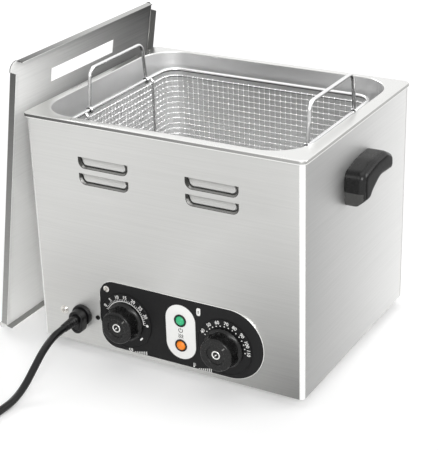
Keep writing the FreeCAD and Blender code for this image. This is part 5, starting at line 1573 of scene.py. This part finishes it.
def plug_body():
    """Neck rings with grooves, a shoulder that swells smoothly, a waist and an eased face."""
    rows = []
    for along in np.linspace(0, NECK_LONG, 46):
        wave = math.cos(along / NECK_LONG * 2 * math.pi * NECK_GROOVES) * 2 - 1
        groove = NECK_GROOVE * max(wave, 0) * (2 < along < 14)
        reach = NECK_ROUND + NECK_FLARE * along / NECK_LONG - groove
        rows.append(plug_ring(along, reach, reach, reach - 0.01))
    for along in np.linspace(NECK_LONG + 0.5, PLUG_FACE - 2, 30):
        share = eased(min((along - NECK_LONG) / SHOULDER_LONG, 1))
        waist = WAIST * math.exp(-((along - WAIST_AT) / WAIST_REACH) ** 2)
        half_w = SHOULDER_ROUND + (PLUG_HALF_W - SHOULDER_ROUND) * share - waist
        half_h = SHOULDER_ROUND + (PLUG_HALF_H - SHOULDER_ROUND) * share - waist / 2
        rows.append(plug_ring(along, half_w, half_h, 8.3 - (8.3 - PLUG_CORNER) * share))
    for inset, along in arc((PLUG_EASE, PLUG_FACE - PLUG_EASE), PLUG_EASE, 180, 90, 5):
        rows.append(plug_ring(along, PLUG_HALF_W - inset, PLUG_HALF_H - inset,
                              PLUG_CORNER - inset))
    return stack(rows)


plug = piece("moulded_plug", plug_body(), "soft_pvc_cord", "boiler", ("plug_body",))

# %% Plug pins
PINS_APART, PIN_THICK, PIN_TALL, EARTH_PIN_UP = 6.4, 1.6, 6.4, 5.6
PIN_TIP = ((0, -2), (0, 15.4), (0.25, 16.4), (0.45, 17))
EARTH_PIN = ((-2, 2.4), (17.5, 2.4), (19, 2.0), (19.8, 1.1), (20, 0.5))


def plug_pins():
    """Two flat pins with eased tips and a round earth pin."""
    x, y, z = PLUG
    made = []
    for middle in (x - PINS_APART, x + PINS_APART):
        made.append(stack([upright_ring(middle - PIN_THICK / 2 + inset, z - PIN_TALL + 1.5 * inset,
                                        middle + PIN_THICK / 2 - inset, z - 1.5 * inset, 0.3,
                                        y + PLUG_FACE + along, 3) for inset, along in PIN_TIP]))
    made.append(lathe(EARTH_PIN, (x, y + PLUG_FACE, z + EARTH_PIN_UP), (0, 1, 0), 24))
    return joined(made)


pins = piece("plug_pin_set", plug_pins(), "turned_brass", "boiler", ("plug_pins",))

# %% [markdown]
# ## The cord
#
# A cord is one fixed length, so it is one smooth line: out of the sleeve, down under its own
# weight, forward along the worktop, and the rest wound as it is stored, in two layers that lie
# turn beside turn. The free stretch is a list of points given one by one. The coil is a spiral:
# its radius shrinks from turn to turn in the lower layer and grows again in the upper one.

# %% The cord's line
CORD_ROUTE = ((61.0, -41.0, 40.0), (61.0, -62.0, 39.2), (61.0, -83.0, 31.5),
              (60.7, -102.0, 18.0), (60.0, -121.0, 3.5), (58.8, -141.0, -5.0),
              (57.0, -161.0, -6.6), (55.3, -179.0, -6.6))
TAIL_ROUTE = ((-67.0, -198.0, 2.3), (-67.6, -182.0, 1.4), (-68.5, -166.0, 0.3),
              (-68.5, -160.0, 0.3))
COIL_AT, COIL_OUT, COIL_IN, COIL_START = (-6.5, -205.0), 60.4, 39.6, 8.5
LAYER_LOW, LAYER_HIGH = -6.8, 2.35
LOWER_TURNS, CLIMB_TURNS, UPPER_TURNS, POINTS_A_TURN = 2.25, 0.25, 2.0236, 14


def coil_points():
    """Clockwise from above: x = X + r cos a, y = Y + r sin a, with a falling steadily, r going
    in along the lower layer and out along the upper, and z rising in the quarter turn between."""
    turns = LOWER_TURNS + CLIMB_TURNS + UPPER_TURNS
    t = np.linspace(0, turns, round(turns * POINTS_A_TURN) + 1)
    inward = np.clip(t / LOWER_TURNS, 0, 1)
    back_out = np.clip((t - LOWER_TURNS - CLIMB_TURNS) / UPPER_TURNS, 0, 1)
    r = COIL_OUT - (COIL_OUT - COIL_IN) * (inward - back_out)
    climb = eased(np.clip((t - LOWER_TURNS) / CLIMB_TURNS, 0, 1))
    a = math.radians(COIL_START) - 2 * np.pi * t
    return np.column_stack((COIL_AT[0] + r * np.cos(a), COIL_AT[1] + r * np.sin(a),
                            LAYER_LOW + (LAYER_HIGH - LAYER_LOW) * climb))


line = np.vstack(((GLAND[0], -20.0, GLAND[1]), CORD_ROUTE, coil_points(), TAIL_ROUTE))
print("cord points", len(line), "of which the coil has", len(coil_points()))

# %% Cord
CORD_RADIUS, CORD_LENGTH = 4.5, 1.62
curve = bpy.data.curves.new("mains_cord", "CURVE")
curve.dimensions = "3D"
curve.bevel_depth, curve.bevel_resolution, curve.use_fill_caps = CORD_RADIUS / 1000, 5, True
curve.resolution_u = 5
spline = curve.splines.new("NURBS")
spline.points.add(len(line) - 1)
spline.points.foreach_set("co", np.column_stack((metres(line), np.ones(len(line)))).ravel())
spline.order_u = 3
spline.use_endpoint_u = True
curve.materials.append(FINISHES["soft_pvc_cord"])
cord = new_object("mains_cord", curve)
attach(cord, "boiler")
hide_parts("power_cord", "power_cord_coil", "power_cord_tail")
metres((GLAND[0], -SLEEVE_FROM, GLAND[1]))
print("declared length", CORD_LENGTH, "m")

# %% [markdown]
# ## The side handles
#
# A handle is moulded phenolic: no edge on it is sharp, because the mould has none. The solid
# has the right form with crisp folds, so a copy of it is merged, remeshed into even squares
# and smoothed: each point moves part of the way to the middle of its neighbours, again and
# again. Points that touch the wall stay where they are. The flat of the grip takes painted
# shade and the lowest part of each end a painted sheen, so those faces take other finishes.

# %% Smoothing a handle
HANDLE_GRAIN_MM, SMOOTHINGS, PULL, WALL_HOLD = 1.1, 14, 0.5, 0.6


def merged_copy(node):
    """A new object with a solid's mesh, its loose triangles joined."""
    shape = bmesh.new()
    shape.from_mesh(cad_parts[node].data)
    bmesh.ops.remove_doubles(shape, verts=shape.verts, dist=1e-5)
    mesh = bpy.data.meshes.new(node)
    shape.to_mesh(mesh)
    shape.free()
    return new_object(node + "_source", mesh)


def moulded(node, wall_x):
    """An evenly meshed, smoothed copy of a solid: p + PULL (mean of neighbours - p), repeated."""
    source = merged_copy(node)
    remesh = source.modifiers.new("even", "REMESH")
    remesh.mode, remesh.voxel_size = "VOXEL", HANDLE_GRAIN_MM / 1000
    even = as_mesh(source)
    points, faces = mesh_arrays(even)
    ends = np.empty(len(even.edges) * 2, np.int32)
    even.edges.foreach_get("vertices", ends)
    one, two = ends.reshape(-1, 2).T
    bpy.data.objects.remove(source)
    bpy.data.meshes.remove(even)
    points = (points - CORNER) * 1000
    free = (np.abs(points[:, 0] - wall_x) > WALL_HOLD)[:, None]
    count = np.bincount(ends, minlength=len(points))[:, None]
    for _ in range(SMOOTHINGS):
        total = np.zeros_like(points)
        np.add.at(total, one, points[two])
        np.add.at(total, two, points[one])
        points = points + free * PULL * (total / count - points)
    return points, faces


print("a handle's solid spans in mm", np.round(np.subtract(*box_of("right_handle")[::-1]), 1))

# %% Handles
FOOT_TALL, SIDEWAYS = 19.0, 0.75


def on_the_outer_face(centres, normals):
    """The flat of the grip, which looks away from the casing."""
    return np.abs(normals[:, 0]) > FACING


def on_the_foot(centres, normals):
    """The lowest part of each end, under the grip, which takes a painted sheen."""
    low = box_of("right_handle")[0][2]
    return (centres[:, 2] < low + FOOT_TALL) & (np.abs(normals[:, 1]) > SIDEWAYS)


for side, wall_x in (("right", CASE_W), ("left", 0.0)):
    handle = piece(side + "_moulded_handle", moulded(side + "_handle", wall_x),
                   "moulded_phenolic_handle", "boiler", (side + "_handle",))
    # Painted shade on the flat of the grip.
    refinish(handle, "handle_side_painted_shade", on_the_outer_face)
    # A painted sheen on the lowest part of each end.
    refinish(handle, "handle_foot_painted_sheen", on_the_foot)

# %% [markdown]
# ## The pieces that stay as they are
#
# Everything inside the casing, the base and the back already have their true shape. Their
# meshes stay, and each takes the finish of what it is made of.

# %% Finishes for the solids that stay
STAYING = {
    "brushed_stainless_sheet": ("base_plate", "back_panel", "tank_clips", "element_guard"),
    "rubber_foot": ("rubber_feet",),
    "nickel_plated_screw": ("handle_screws", "timer_shaft", "thermostat_shaft", "bulb_clips"),
    "oxidised_heater_sheath": ("heating_element",),
    "turned_brass": ("tank_glands",),
    "drawn_copper_bulb": ("thermostat_bulb", "thermostat_capillary"),
    "black_phenolic_case": ("thermostat_body", "timer_body", "thermal_cutout",
                            "lamp_housings", "gland_locknut"),
    "glazed_white_ceramic": ("terminal_block",),
    "silicone_glass_sleeve": ("internal_wiring",),
}
for finish_name, nodes in STAYING.items():
    for name in nodes:
        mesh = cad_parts[name].data
        mesh.materials.clear()
        mesh.materials.append(FINISHES[finish_name])
print("solids that stay", sum(len(nodes) for nodes in STAYING.values()))

# %% [markdown]
# ## Floor, world and lamps
#
# A white studio is a large pale floor and a white surround. What the camera, a reflection or a
# lens sees of them is pure white, which Light Path decides, while the light that they give the
# object stays at a plain level. Far from the object the floor glows too, for the camera alone,
# so that it runs into the white surround. Four soft boxes then shape the object: one behind on
# the left, a strong one in front on the right, one behind on the right and a weak one above.

# %% World
WHITE, SURROUND = (1, 1, 1, 1), 0.5


def seen_directly(tree):
    """1 for camera, glossy and transmission rays, 0 for the rays that carry light."""
    path = add(tree, "ShaderNodeLightPath")
    total = path.outputs["Is Camera Ray"]
    for kind in ("Is Glossy Ray", "Is Transmission Ray"):
        total = add(tree, "ShaderNodeMath", {0: total, 1: path.outputs[kind]},
                    operation="MAXIMUM").outputs["Value"]
    return total


world = bpy.data.worlds.new("studio")
bpy.context.scene.world = world
world.use_nodes = True
sky = world.node_tree.nodes["Background"]
sky.inputs["Color"].default_value = WHITE
strength = add(world.node_tree, "ShaderNodeMapRange",
               {"Value": seen_directly(world.node_tree), "To Min": SURROUND, "To Max": 1.0})
world.node_tree.links.new(strength.outputs["Result"], sky.inputs["Strength"])
print("the world lights at", SURROUND, "and is seen at 1.0")

# %% Floor
FLOOR_GLOW, FAR_GLOW = 0.16, 0.5
FLOOR_REACH, NEAR_ENDS, FLOOR_HALF = 3.5, 0.75, 9.0
floor_finish = bpy.data.materials.new("matt_white_floor")
floor_finish.use_nodes = True
tree = floor_finish.node_tree
surface = tree.nodes["Principled BSDF"]
for socket, value in (("Base Color", linear("#F2F2F2")), ("Roughness", 0.9),
                      ("Specular IOR Level", 0.0), ("Emission Color", WHITE)):
    surface.inputs[socket].default_value = value
where = add(tree, "ShaderNodeTexCoord")
near = add(tree, "ShaderNodeMapping", {"Vector": where.outputs["Object"],
                                       "Scale": np.full(3, 1 / FLOOR_REACH)})
ball = add(tree, "ShaderNodeTexGradient", {"Vector": near.outputs["Vector"]},
           gradient_type="SPHERICAL")
far = add(tree, "ShaderNodeMapRange", {"Value": ball.outputs["Fac"], "From Max": NEAR_ENDS,
                                       "To Min": FAR_GLOW, "To Max": 0.0})
path = add(tree, "ShaderNodeLightPath")
far = add(tree, "ShaderNodeMath", {0: far.outputs["Result"], 1: path.outputs["Is Camera Ray"]},
          operation="MULTIPLY")
glow = add(tree, "ShaderNodeMath", {0: seen_directly(tree), 1: FLOOR_GLOW, 2: far.outputs[0]},
           operation="MULTIPLY_ADD")
tree.links.new(glow.outputs[0], surface.inputs["Emission Strength"])
flat = bpy.data.meshes.new("floor")
flat.from_pydata([(x * FLOOR_HALF, y * FLOOR_HALF, 0) for x, y in
                  ((-1, -1), (1, -1), (1, 1), (-1, 1))], [], [(0, 1, 2, 3)])
flat.materials.append(floor_finish)
new_object("floor", flat)
print("floor", 2 * FLOOR_HALF, "m wide")

# %% Soft boxes
LAMPS_FACE = Vector((0, 0, 0.15))


def soft_box(name, at, size, watts):
    """A square lamp at a point, turned to face the middle of the object."""
    lamp = bpy.data.lights.new(name, "AREA")
    lamp.shape, lamp.size, lamp.energy = "SQUARE", size, watts
    turn = (LAMPS_FACE - Vector(at)).to_track_quat("-Z", "Y").to_matrix().to_4x4()
    new_object(name, lamp).matrix_world = Matrix.Translation(at) @ turn
    print("%-10s %5.1f W" % (name, watts))


soft_box("left_box", (-2.4, 0.9, 1.9), 1.4, 24)
soft_box("front_box", (1.5, -2.6, 1.7), 1.4, 56)
soft_box("right_box", (2.4, 1.2, 1.6), 1.4, 22)
soft_box("top_box", (0.2, 0.1, 2.6), 1.8, 8)
bpy.context.scene.view_settings.view_transform = "Standard"
